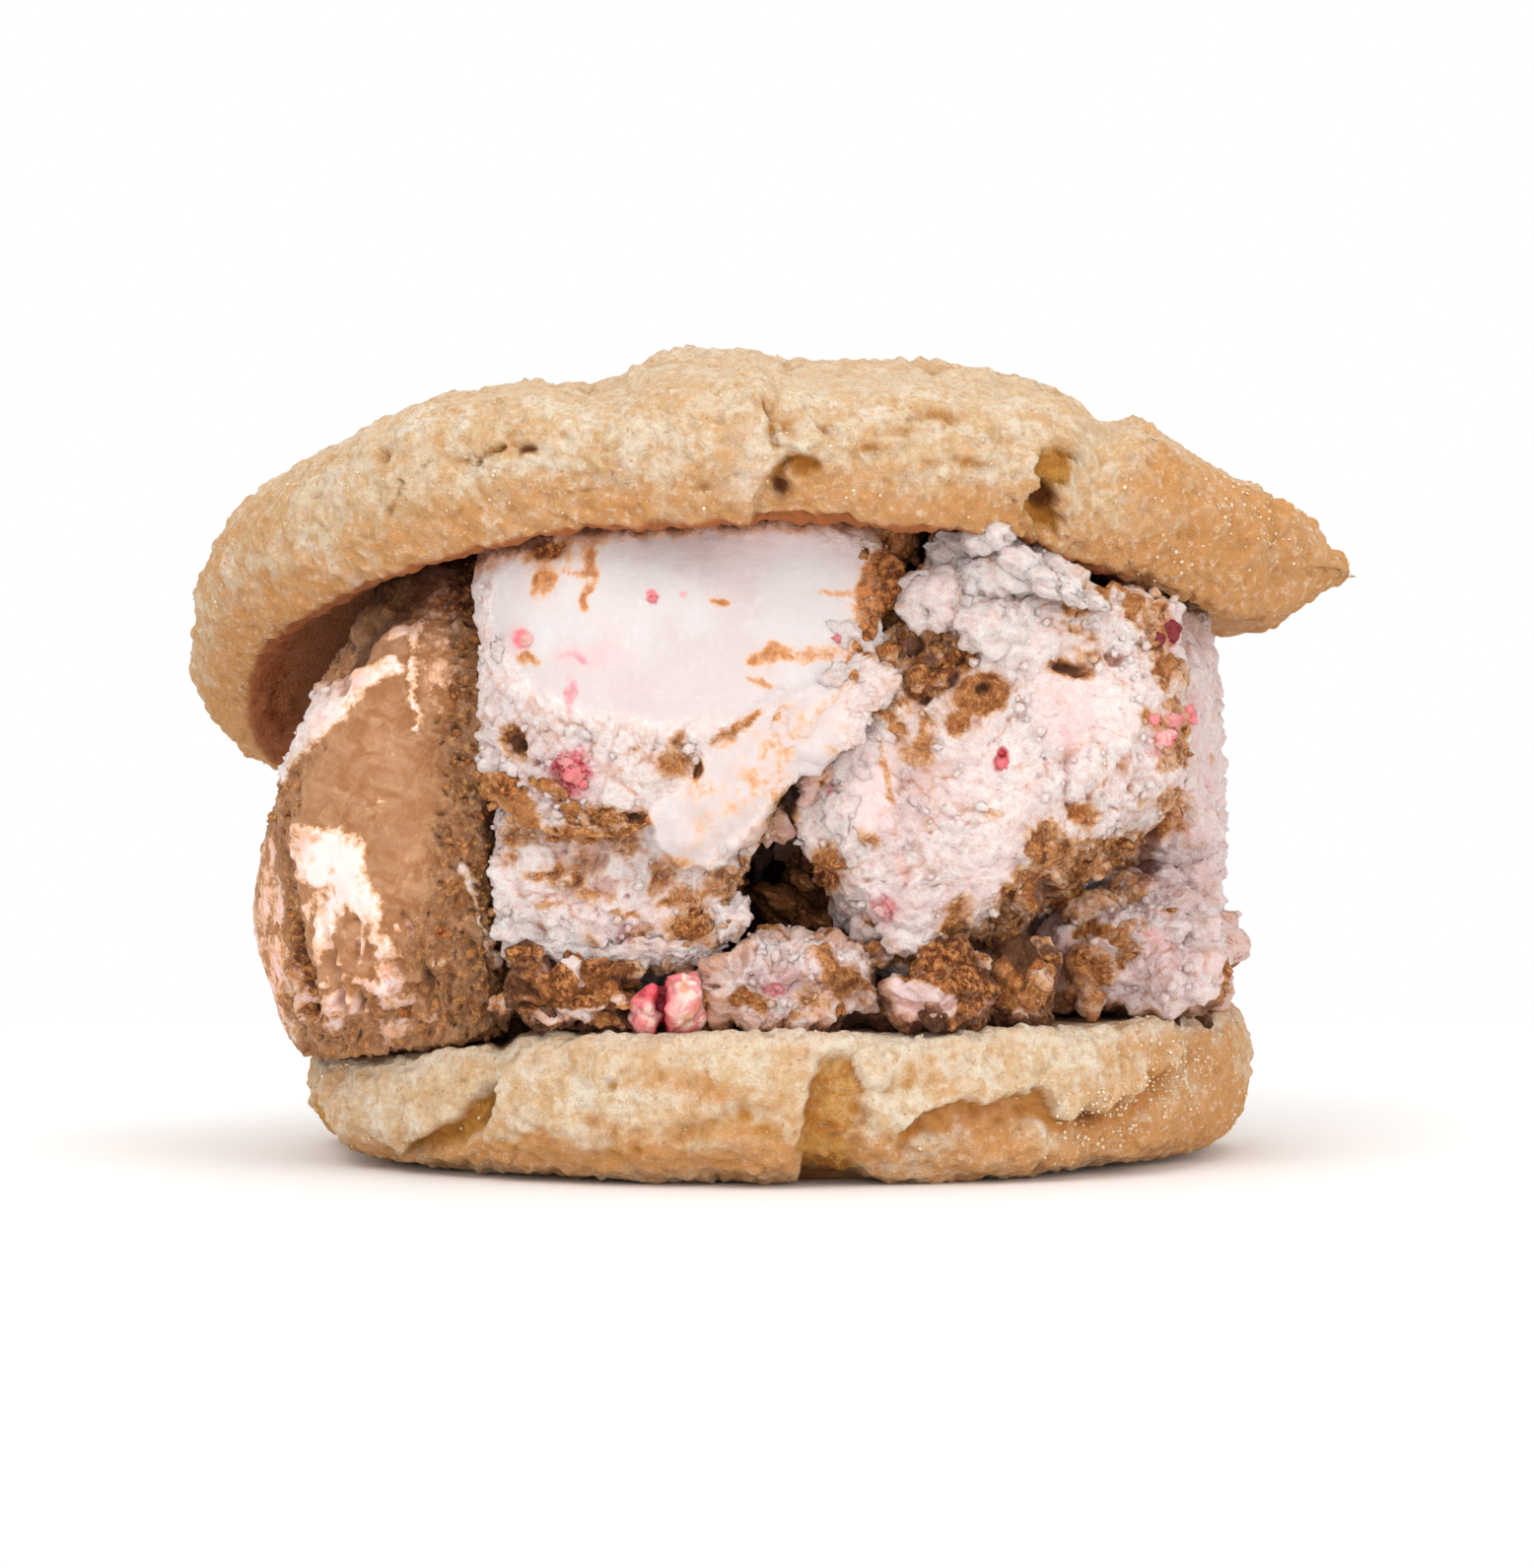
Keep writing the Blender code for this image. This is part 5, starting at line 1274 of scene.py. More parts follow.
def make_scoop(name, masks, facing, fine, coarse, reach, tight, lump, material, slot):
    d, tris = ball_grid(facing, fine, coarse, reach)
    base = base_of(name, d, tight)
    tris = outward(base - base.mean(0), tris)
    n = normals_of(base, tris)
    salt = 300 + 40 * SEEDS[name]
    s = Sight(base, 5.0, salt)
    rear = rear_masks(base, n, s)
    if masks is None:
        m = rear
    else:
        front = smooth((0.35 - n[:, 1]) / 0.35) * smooth((6.0 - base[:, 1]) / 10.0)
        if name == "scoop_left":
            rear["brown"] = 1.0 - 0.9 * smooth((perlin(push(base, 6.0, 2.5, 720), (7.0, 7.0, 3.5), 724) - 0.25) / 0.2)
            front = smooth((0.5 - n[:, 1]) / 0.4) * smooth((2.0 - base[:, 1]) / 12.0)
        m = blend_masks(masks(base, n, s), rear, front)
    h, crevice = cream_relief(base, m["rough"], salt + 10, lump)
    h = h + m["extra"]
    # deep under the cookies nothing stands out: further below, the ice cream there gets painted shade, brown and dark
    # pits, on faces seen from the front
    p = base + n * h[:, None]
    side = push(np.zeros_like(base) + base, 1.1, 1.0, salt + 25) - base
    p = p + 0.22 * m["rough"][:, None] * side
    head = under_top(base[:, 0] - SHIFT[0], base[:, 1] - SHIFT[1]) + LIFT - base[:, 2]
    seen = smooth((0.4 - n[:, 1]) / 0.4)
    deepest = 2.6 if name != "scoop_left" else 10.5
    shade = smooth((deepest + 1.0 * perlin(base, 3.0, salt + 31) - head) / deepest) * seen * smooth((1000 - s.x) / 40)
    # pit: painted shade in the crevices and under the cookie
    pit = np.maximum(np.maximum(m["pit"], 0.62 * crevice), 0.9 * shade)
    brown = np.maximum(m["brown"], 0.85 * shade)
    halo = spread(brown, tris, 50)
    brown = np.maximum(brown, halo * (0.55 + 0.35 * perlin(base, 1.9, salt + 33)))
    # brown in the crevices of torn pale ice cream here and there, partly caramel and partly painted shade
    brown = np.maximum(brown, 0.55 * crevice * smooth((perlin(base, 5.0, salt + 30) + 0.1) / 0.3))
    tint = np.stack([brown, m["pink"], m["berry"]], 1)
    form = np.stack([pit, m["rough"], m["tone"]], 1)
    make_piece(name.replace("scoop_", "ice_cream_"), p, tris, material, [name], tint, form)
    DONE[name] = (p, tris, tint, form)


for piece_name, row in PIECES.items():
    make_scoop(piece_name, *row)


def lump_masks(name, p, n, s):
    one = np.ones(len(p))
    if name == "lump_swirl":
        # pit: painted shade in the gaps between the layers
        layers = perlin(push(p, 2.5, 0.8, 810), (4.0, 4.0, 0.9), 811)
        brown = one * 0.95
        brown = brown * (1 - 0.95 * s.stroke([(552, 976, 5), (572, 984, 5), (592, 1000, 4)], 0.7))
        brown = brown * (1 - 0.9 * s.stroke([(546, 1030, 5), (580, 1030, 5), (610, 1024, 4)], 0.7)) * (1 - 0.7 * s.blob(624, 1012, 8, 6))
        return dict(brown=brown, pink=0.3 * one, berry=0 * one, rough=0.75 * one, tone=0.50 + 0.5 * layers, pit=smooth((-layers - 0.16) / 0.2), extra=1.5 * smooth((layers + 0.15) / 0.3) - 0.9 + 0.4 * perlin(p, 2.0, 812))
    if name == "lump_middle":
        brown = 0.9 * smooth((perlin(push(p, 3.0, 1.2, 820), 2.4, 823) - 0.08) / 0.3)
        brown = np.maximum(brown, 0.75 * s.blob(850, 1010, 40, 34, 0, 0.9) * (0.5 + 0.9 * perlin(p, 1.6, 824)))
        pink = 0.15 + 0.6 * s.blob(790, 998, 34, 16)
        return dict(brown=brown, pink=pink, berry=np.maximum(0.55 * s.blob(784, 1006, 16, 8), 0.2 * s.blob(800, 990, 22, 8)), rough=0.95 * one, tone=0.4 * one, pit=0.5 * s.blob(862, 1000, 26, 20), extra=0.5 * perlin(p, 3.2, 825))
    if name == "lump_curl":
        shell = smooth((1006 - s.y + 0.25 * (s.x - 945)) / 10)
        brown = np.maximum(np.maximum(0.95 * shell, 0.95 * smooth((s.y - 1026) / 8)), 0.9 * smooth((perlin(p, 2.4, 831) - 0.15) / 0.2))
        return dict(brown=brown, pink=0.55 * one, berry=0 * one, rough=0.75 * one, tone=0.72 + 0.2 * shell, pit=0.6 * s.stroke([(900, 1012, 5), (950, 1024, 5), (985, 1010, 5)], 0.8), extra=0.5 * perlin(p, (2.4, 2.4, 1.3), 830) + 0.5 * s.stroke([(905, 1000, 9), (945, 1004, 11), (980, 992, 9)], 0.9))
    if name == "lump_small":
        # pit: painted shade between the knobs
        near, second, own = cells(push(p, 2.0, 0.8, 841), 2.2, 840)
        return dict(brown=0.95 - 0.9 * (own > 0.8) * smooth((0.5 - near) / 0.1), pink=0.3 * one, berry=0 * one, rough=0.7 * one, tone=0.45 * one, pit=smooth((near - 0.55) / 0.2), extra=0.9 * np.sqrt(np.maximum(0, 1 - near * near)) - 0.5)
    if name == "lump_end":
        brown = 0.8 * smooth((perlin(push(p, 3.0, 1.2, 850), 3.0, 853) - 0.24) / 0.2)
        brown = np.maximum(brown, 0.8 * s.blob(1105, 985, 26, 26, 0, 0.9))
        return dict(brown=brown, pink=0.5 + 0.3 * perlin(p, 4.0, 854), berry=0.3 * s.blob(1180, 950, 30, 14), rough=0.8 * one, tone=0.5 + 0.3 * perlin(p, 2.0, 855), pit=0.5 * s.blob(1080, 985, 18, 30), extra=0.9 * perlin(p, 4.2, 856))
    raise ValueError(name)


for k, (name, material, slot, fine) in enumerate((
    ("lump_swirl", CREAM, "caramel_lump", 1.7), ("lump_middle", CREAM, "pale_ice_cream", 1.5), ("lump_curl", CREAM, "caramel_lump", 1.7),
    ("lump_small", CREAM, "caramel_lump", 2.2), ("lump_end", CREAM, "pale_ice_cream", 1.5),
)):
    d, tris = ball_grid((0.1, -1.0, 0.25), fine, fine * 2.4, 95)
    base = base_of(name, d, 1.0)
    tris = outward(base - base.mean(0), tris)
    n = normals_of(base, tris)
    s = Sight(base, 3.0, 800 + k)
    m = lump_masks(name, base, n, s)
    h, crevice = cream_relief(base, m["rough"], 860 + 10 * k, 1.5, 0.7)
    lumpy = 1.1 * perlin(base, 4.2, 896 + k) + 0.7 * perlin(base, 2.1, 897 + k)
    p = base + n * (0.8 * h + m["extra"] + lumpy)[:, None] + 0.18 * m["rough"][:, None] * (push(base, 0.9, 1.0, 870 + k) - base)
    # painted shade: the lumps go dark where they meet the cookie, towards their outline and in their crevices
    foot = base[:, 2] - low_top(base[:, 0], base[:, 1]) - LIFT
    foot = smooth((1.9 + 0.8 * perlin(base, 2.0, 895) - foot) / 1.6)
    side = smooth((np.hypot((s.x - s.x.mean()) / np.ptp(s.x), (s.y - s.y.mean()) / np.ptp(s.y)) - 0.36) / 0.16)
    dark = np.maximum(0.95 * foot, (0.35 if slot == "pale_ice_cream" else 0.7) * side)
    tint = np.stack([np.maximum(m["brown"], 0.9 * dark), m["pink"], m["berry"]], 1)
    form = np.stack([np.maximum(np.maximum(m["pit"], 0.8 * crevice), dark), m["rough"], np.maximum(m["tone"], dark)], 1)
    make_piece(name + "_piece", p, tris, material, [name], tint, form)
    DONE[name] = (p, tris, tint, form)

# the piece of red fruit: two drupelet-like halves with a deep fold
d, tris = ball_grid((0.0, -1.0, 0.2), 2.0, 5.0, 95)
base = base_of("fruit_piece", d, 1.0)
tris = outward(base - base.mean(0), tris)
n = normals_of(base, tris)
s = Sight(base, 2.5, 880)
fold = s.stroke([(672, 996, 5), (668, 1020, 6), (672, 1046, 5)], 0.9)
near, second, own = cells(push(base, 1.6, 0.3, 881), 1.5, 884)
h = 0.35 * np.sqrt(np.maximum(0, 1 - (near * 1.2) ** 2)) - 1.0 * fold + 0.45 * perlin(base, 2.2, 885) + 0.25 * perlin(base, 0.9, 888)
p = base + n * h[:, None]
pale = np.maximum(0.95 * s.blob(699, 1016, 19, 30, 0, 1.0), 0.75 * s.blob(646, 1032, 18, 16, 0, 1.0)) * (1.25 + 0.9 * perlin(base, 1.0, 886))
pale = np.clip(pale, 0, 1)
form = np.stack([np.maximum(fold, 0.5 * smooth((near - 0.5) / 0.2)), pale, smooth((s.blob(704, 1016, 20, 30, 0, 1.2) * (0.5 + 0.9 * perlin(base, 1.2, 887)) - 0.2) / 0.5)], 1)
make_piece("red_fruit", p, tris, FRUIT, ["fruit_piece"], None, form)

# =====================================================================================
# small things on the surfaces


class Depth:
    """How far forward the ice cream's own surface is at each place seen from the front."""

    def __init__(self, names, cell=5.0):
        self.cell, self.x0, self.y0 = cell, 240.0, 500.0
        self.w, self.h = int((1280 - 240) / cell), int((1060 - 500) / cell)
        grid = np.full((self.h, self.w), 99.0)
        for name in names:
            q, t = DONE[name][0], DONE[name][1]
            s = Sight(q)
            i = ((s.y - self.y0) / cell).astype(int)
            j = ((s.x - self.x0) / cell).astype(int)
            ok = (i >= 0) & (i < self.h) & (j >= 0) & (j < self.w) & (q[:, 1] < 5)
            np.minimum.at(grid, (i[ok], j[ok]), q[ok, 1])
        for _ in range(30):
            bad = grid > 90
            if not bad.any():
                break
            pad = np.pad(grid, 1, constant_values=99.0)
            stack = np.stack([pad[a : a + self.h, b : b + self.w] for a in range(3) for b in range(3)])
            good = stack < 90
            mean = np.where(good.any(0), np.where(good, stack, 0).sum(0) / np.maximum(good.sum(0), 1), 99.0)
            grid = np.where(bad, mean, grid)
        self.grid = np.where(grid > 90, 0.0, grid)

    def at(self, x, y):
        fx = np.clip((np.asarray(x) - self.x0) / self.cell - 0.5, 0, self.w - 1.001)
        fy = np.clip((np.asarray(y) - self.y0) / self.cell - 0.5, 0, self.h - 1.001)
        i, j = fy.astype(int), fx.astype(int)
        u, v = fx - j, fy - i
        g = self.grid
        return g[i, j] * (1 - u) * (1 - v) + g[i, j + 1] * u * (1 - v) + g[i + 1, j] * (1 - u) * v + g[i + 1, j + 1] * u * v


def spot(x, y, depth):
    """The point seen at x, y that is depth mm towards the back, mm."""
    d = depth - EYE[1]
    return np.stack([EYE[0] + (x - 778) * STEP * d, depth + 0.0 * d, EYE[2] + (795.5 - y) * STEP * d], -1)


def pebble(detail):
    """Unit ball points and triangles, for small irregular bits."""
    mesh = bpy.data.meshes.new("tmp")
    import bmesh

    bm = bmesh.new()
    bmesh.ops.create_icosphere(bm, subdivisions=detail, radius=1.0)
    bm.to_mesh(mesh)
    bm.free()
    v = np.array([q.co[:] for q in mesh.vertices])
    t = np.array([list(f.vertices) for f in mesh.polygons])
    bpy.data.meshes.remove(mesh)
    return v, outward(v, t)


PEB1, PEB2, PEB3 = pebble(1), pebble(3), pebble(4)
RS = np.random.default_rng(23)


def turned(v):
    a, b, c = RS.random(3) * 2 * math.pi
    ca, sa, cb, sb, cc, sc = math.cos(a), math.sin(a), math.cos(b), math.sin(b), math.cos(c), math.sin(c)
    m = np.array([[ca, -sa, 0], [sa, ca, 0], [0, 0, 1]]) @ np.array([[1, 0, 0], [0, cb, -sb], [0, sb, cb]]) @ np.array([[cc, -sc, 0], [sc, cc, 0], [0, 0, 1]])
    return v @ m.T


def gather(items):
    """One mesh from many (points, triangles, tint, form)."""
    p, t, a, b, start = [], [], [], [], 0
    for q, tri, tint, form in items:
        p.append(q)
        t.append(tri + start)
        a.append(np.broadcast_to(tint, (len(q), 3)))
        b.append(np.broadcast_to(form, (len(q), 3)))
        start += len(q)
    return np.concatenate(p), np.concatenate(t), np.concatenate(a), np.concatenate(b)


def scatter(host, count, low, high, weight, out=0.35, shapes=PEB1):
    """Bits of that size range, mm, half sunk in a surface where weight is high."""
    p, tris, tint, form = host
    n = normals_of(p, tris)
    w = np.clip(weight, 0, None)
    pick = RS.choice(len(p), size=count, p=w / w.sum())
    items = []
    for i in pick:
        size = low + (high - low) * RS.random() ** 2.2
        v, t = shapes
        q = turned(v * (1 + 0.35 * RS.normal(size=(len(v), 1)).clip(-1, 1)) * np.array([1.0, 0.75 + 0.3 * RS.random(), 0.6 + 0.3 * RS.random()]))
        items.append((p[i] + n[i] * size * out + q * size * 0.5, t, tint[i], form[i] * np.array([0.35, 1.0, 1.0])))
    return items


def join_bits(name, rows, masks, material, hosts, lump, salt, deep=1.0, keep=None):
    """Lumps (x, y, half width, half height, turn, standing out mm, roughness) laid on the hosts' surface as one mesh."""
    depth = Depth(hosts)
    items = []
    for x, y, rx, ry, turn, out, rough in rows:
        surf = float(depth.at(x, y))
        unit = STEP * (surf - EYE[1])
        big = max(rx, ry) * unit > 1.9
        v, t = PEB3 if big else PEB2
        a, b = rx * unit, ry * unit
        c = 0.62 * min(a, b) + 0.1 * max(a, b)
        out = (0.5 * out if out > 3 else 0.36 * out) if out > 0 else out
        c = max(c, 0.5 * out + 0.6) if out > 1.5 else c
        ang = math.radians(turn)
        e1 = np.array([math.cos(ang), 0.0, -math.sin(ang)])
        e2 = np.array([math.sin(ang), 0.0, math.cos(ang)])
        wob = 1.0 + (0.06 + 0.34 * rough) * perlin(v + x, 0.9, salt)[:, None] + 0.14 * rough * perlin(v + x, 0.4, salt + 3)[:, None]
        q = wob * (v[:, :1] * a * e1 + v[:, 2:] * b * e2 + v[:, 1:2] * c * np.array([0.0, 1.0, 0.0]))
        q = q + spot(x, y, np.array(surf + c - out))
        nn = normals_of(q, t)
        s = Sight(q, 4.0, salt + 1)
        m = masks(q, nn, s)
        r = np.full(len(q), float(rough))
        h, crevice = cream_relief(q, r, salt + 2, lump, deep)
        q = q + nn * (0.8 * h)[:, None]
        tint = np.stack([m["brown"], m["pink"], m["berry"]], 1)
        # pit: painted shade in the crevices
        form = np.stack([np.maximum(m["pit"], 0.6 * crevice), np.maximum(r, 0.0), m["tone"]], 1)
        if keep is not None:
            tint, form = keep(tint, form, q, s)
        items.append((q, t, tint, form))
    p, t, a, b = gather(items)
    make_piece(name, p, t, material, (), a, b)
    DONE[name] = (p, t, a, b)


def mostly_white(tint, form, q, s):
    tint, form = tint.copy(), form.copy()
    tint[:, 0] = 0.25 * np.minimum(tint[:, 0], 0.6) + 0.18 * perlin(q, 2.0, 906)
    form[:, 0] = 0.5 * np.minimum(form[:, 0], 0.6)
    return tint, form


def mostly_brown(tint, form, q, s):
    tint, form = tint.copy(), form.copy()
    tint[:, 0] = np.maximum(tint[:, 0], 0.78 + 0.4 * perlin(q, 1.4, 901))
    form[:, 2] = 0.5 + 0.4 * perlin(q, 1.1, 902)
    return tint, form


def in_shadow(tint, form, q, s):
    tint, form = tint.copy(), form.copy()
    tint[:, 0] = 1.0
    form[:, 2] = 0.35 + 0.4 * perlin(q, 1.3, 905)
    form[:, 0] = 0.6 * form[:, 0]
    return tint, form


def in_cleft(tint, form, q, s):
    tint, form = tint.copy(), form.copy()
    # painted shade: the bits in the cleft get a mauve-brown tint and some pit darkening
    tint[:, 0] = 0.30 + 0.5 * perlin(q, 1.6, 908)
    tint[:, 1] = 0.8
    form[:, 2] = 0.5
    form[:, 0] = np.maximum(form[:, 0], 0.25)
    return tint, form


TORN_HOSTS = ["scoop_front", "scoop_right"]
# the smooth tongue of cream that runs across the cleft, one body
depth = Depth(TORN_HOSTS)
path = [(752, 792, 26, -1.5), (784, 764, 34, -0.7), (816, 740, 36, -0.2), (848, 716, 36, 0.1), (880, 694, 32, 0.0)]
knots, radii = [], []
for x, y, r, out in path:
    surf = float(depth.at(x, y))
    if x > 800:
        surf = min(surf, float(depth.at(760, 740)) + 0.8)
    radii.append(r * STEP * (surf - EYE[1]))
    knots.append(spot(x, y, np.array(surf + 0.45 * radii[-1] - out)))
knots, radii = np.array(knots), np.array(radii)
centre = 0.5 * (knots[2] + knots[3])
squash = np.array([1.0, 1.0 / 0.45, 1.0])


def off_tongue(q):
    best = None
    for k in range(len(knots) - 1):
        a, b = knots[k] * squash, knots[k + 1] * squash
        ab = b - a
        t = np.clip(((q * squash - a) @ ab) / (ab @ ab), 0, 1)
        d = np.linalg.norm(q * squash - a - t[:, None] * ab, axis=1) - (radii[k] + (radii[k + 1] - radii[k]) * t)
        best = d if best is None else softmin(best, d, 1.2)
    return best


d, tris = ball_grid((0.0, -1.0, 0.0), 1.15, 3.0, 80)
low_r, high_r = np.zeros(len(d)), np.full(len(d), 16.0)
for _ in range(26):
    mid_r = 0.5 * (low_r + high_r)
    inside = off_tongue(centre + d * mid_r[:, None]) < 0
    low_r, high_r = np.where(inside, mid_r, low_r), np.where(inside, high_r, mid_r)
base = centre + d * low_r[:, None]
tris = outward(base - centre, tris)
n = normals_of(base, tris)
s = Sight(base, 4.0, 905)
rim = smooth((off_tongue(base + 0 * n) + 0.0 + np.abs(n[:, 1] + 1.0) - 0.25) / 0.6)
rough = 0.06 + 0.75 * rim + 0.6 * smooth((s.x - 838) / 30)
h, crevice = cream_relief(base, np.minimum(rough, 1.0), 907, 1.8)
p = base + n * (0.8 * h + 0.55 * perlin(base, 3.0, 917) + 0.35 * perlin(base, 1.4, 918) * rim)[:, None]
fleck = 0.75 * smooth((perlin(base, 1.3, 919) - 0.30) / 0.2) * smooth((s.below([(660, 830), (700, 790), (760, 745), (830, 700), (900, 670)]) * -1 + 16) / 14)
# brown and pit from crevice are painted shade in the smear's crevices
tint = np.stack([np.maximum(np.maximum(fleck, 0.4 * crevice), 0.20 + 0.15 * perlin(base, 3.0, 921)), 0.12 + 0.2 * perlin(base, 4.0, 920), 0.0 * fleck], 1)
form = np.stack([0.45 * crevice, np.minimum(rough, 1.0), 0.3 + 0.0 * fleck], 1)
make_piece("cream_smear", p, tris, CREAM, (), tint, form)
DONE["cream_smear"] = (p, tris, tint, form)
join_bits("torn_cream", [
    (944, 608, 34, 30, 0, 2.6, 1.0), (996, 546, 22, 19, 10, 7.5, 0.75), (1013, 541, 20, 16, 10, 8.5, 0.7), (1034, 569, 24, 15, 27, 8.0, 0.75), (1059, 589, 28, 14, 29, 7.5, 0.75), (1084, 600, 26, 11, 29, 6.0, 0.75), (1106, 608, 24, 10, 28, 4.0, 0.75),
    (968, 560, 28, 22, 0, 2.5, 1.0), (985, 592, 30, 24, 0, 2.5, 1.0), (1020, 580, 40, 24, 10, 4.0, 1.0), (880, 770, 34, 44, 10, 0.6, 1.0), (866, 836, 26, 40, 5, 0.5, 1.0), (866, 652, 34, 34, 20, 0.9, 1.0), (850, 694, 30, 20, 0, 0.5, 1.0),
    (1004, 636, 36, 26, 10, 1.2, 0.9), (1000, 966, 18, 16, 0, 1.6, 0.9), (924, 950, 34, 22, 8, 1.4, 0.8), (884, 940, 22, 20, 0, 1.2, 0.8),
    (536, 948, 34, 18, 14, 1.2, 1.0), (588, 966, 40, 15, 4, 1.4, 1.0), (650, 964, 44, 14, -4, 1.2, 1.0), (708, 966, 30, 12, -8, 1.4, 1.0), (742, 934, 18, 26, 30, 0.9, 1.0),
    (508, 660, 12, 16, 0, 1.0, 0.9), (506, 716, 13, 18, 0, 1.0, 0.9), (520, 780, 14, 14, 0, 1.0, 0.8),
], lambda q, nn, s: right_masks(q, nn, s) if s.x.mean() > 830 else front_masks(q, nn, s), CREAM, TORN_HOSTS, 1.9, 915, keep=mostly_white)
join_bits("pale_wall", [
    (1196, 862, 40, 26, 0, 0.6, 0.9), (1216, 900, 26, 28, 0, 0.8, 0.9), (1176, 900, 30, 22, 0, 0.6, 0.9), (1214, 942, 26, 26, 0, 0.8, 0.9), (1146, 906, 28, 18, -10, 0.8, 0.9),
    (1108, 922, 30, 18, -10, 1.0, 0.9), (1180, 940, 30, 20, 0, 0.8, 0.9), (1140, 948, 28, 16, 0, 0.8, 0.9), (1216, 996, 22, 22, 0, 0.6, 0.9), (1106, 1014, 14, 18, 0, 2.4, 0.7),
], end_masks, CREAM, ["scoop_end", "lump_end"], 1.9, 995)
join_bits("chocolate_crumble", [
    (904, 548, 22, 22, 0, 1.0, 1.0), (900, 590, 20, 26, 0, 0.8, 0.4), (906, 628, 22, 18, 0, 1.0, 1.0), (924, 656, 24, 18, 20, 1.2, 1.0), (952, 668, 20, 15, 10, 1.2, 1.0),
    (976, 648, 18, 12, 0, 1.2, 1.0), (900, 668, 14, 14, 0, 1.1, 1.0), (932, 690, 16, 12, 0, 1.2, 1.0), (878, 572, 12, 20, 0, 0.8, 1.0),
    (560, 800, 22, 9, 24, 1.2, 0.7), (520, 798, 26, 11, 30, 1.2, 0.6), (586, 826, 24, 10, 22, 1.2, 0.8), (619, 832, 18, 12, 0, 1.2, 1.0),
    (702, 940, 20, 13, 0, 1.0, 0.8), (1060, 866, 22, 16, -20, 1.3, 1.0), (1100, 880, 24, 16, -15, 1.2, 1.0), (1036, 902, 22, 22, -40, 1.2, 1.0), (1014, 946, 18, 20, 10, 1.0, 1.0),
    (1136, 858, 18, 14, -20, 1.1, 1.0), (1080, 910, 16, 18, 0, 0.8, 1.0),
], lambda q, nn, s: right_masks(q, nn, s) if s.x.mean() > 830 else front_masks(q, nn, s), CREAM, TORN_HOSTS, 1.5, 925, keep=mostly_brown)
join_bits("shadowed_flakes", [
    (806, 962, 66, 13, -2, -1.0, 0.8), (796, 914, 32, 12, 24, 19.0, 0.6), (772, 912, 15, 7, 40, 17.0, 0.6), (816, 894, 16, 8, 34, 7.0, 0.8), (832, 936, 32, 14, 18, 18.0, 0.8), (790, 934, 26, 7, 34, 20.0, 0.5), (764, 960, 24, 12, 10, 12.0, 0.8), (860, 968, 30, 12, 6, 4.0, 0.8), (790, 985, 50, 8, 0, -1.0, 0.8),
    (1056, 952, 26, 14, 0, -3.0, 0.8), (1030, 990, 20, 12, 0, -3.0, 0.8), (900, 1000, 22, 10, 0, -3.0, 0.8),
], front_masks, CREAM, TORN_HOSTS, 1.6, 935, keep=in_shadow)
join_bits("cleft_cream", [
    (804, 806, 22, 30, 36, -0.9, 1.0), (786, 838, 22, 20, 20, -0.9, 1.0), (806, 858, 18, 14, -10, -1.3, 1.0), (826, 790, 18, 26, 30, -0.5, 1.0), (776, 866, 14, 14, 0, -1.0, 1.0),
], front_masks, CREAM, TORN_HOSTS, 1.6, 975, keep=in_cleft)

# broken bits that fill the gap between the lumps and the cookie under them
LUMP_HOSTS = ["lump_swirl", "lump_middle", "lump_curl", "lump_small", "lump_end", "scoop_left"]
gap_rows = []
for gx in range(500, 1215, 17):
    gy = 1044.0 - 0.0007 * (gx - 800) ** 2 * 0.15 + 8.0 * RS.normal()
    gap_rows.append((gx + 5 * RS.normal(), min(gy, 1052.0), 9 + 7 * RS.random(), 6 + 5 * RS.random(), 40 * RS.normal(), -0.6 - 1.2 * RS.random(), 0.8))
for gx, gy in ((532, 968), (640, 984), (700, 992), (716, 1040), (888, 968), (892, 1030), (990, 972), (1052, 1000), (1062, 968), (1044, 1036), (512, 1020), (1010, 1030), (1098, 936), (950, 1034), (628, 1046), (720, 1010)):
    gap_rows.append((gx, gy, 12 + 8 * RS.random(), 8 + 6 * RS.random(), 40 * RS.normal(), 0.2, 0.9))


def crumb_mix(tint, form, q, s):
    tint, form = tint.copy(), form.copy()
    tint[:, 0] = 0.75 + 0.6 * perlin(q, 1.8, 903)
    # painted shade: darker towards the bottom of the gap under the lumps
    low = smooth((s.y - 1014) / 20)
    form[:, 2] = np.maximum(0.6 + 0.4 * perlin(q, 1.1, 904), low)
    form[:, 0] = np.maximum(form[:, 0], 0.92 * low)
    tint[:, 0] = np.maximum(tint[:, 0], low)
    return tint, form


join_bits("broken_bits", gap_rows, lambda q, nn, s: lump_masks("lump_swirl", q, nn, s), CREAM, LUMP_HOSTS, 1.2, 945, deep=0.9, keep=crumb_mix)

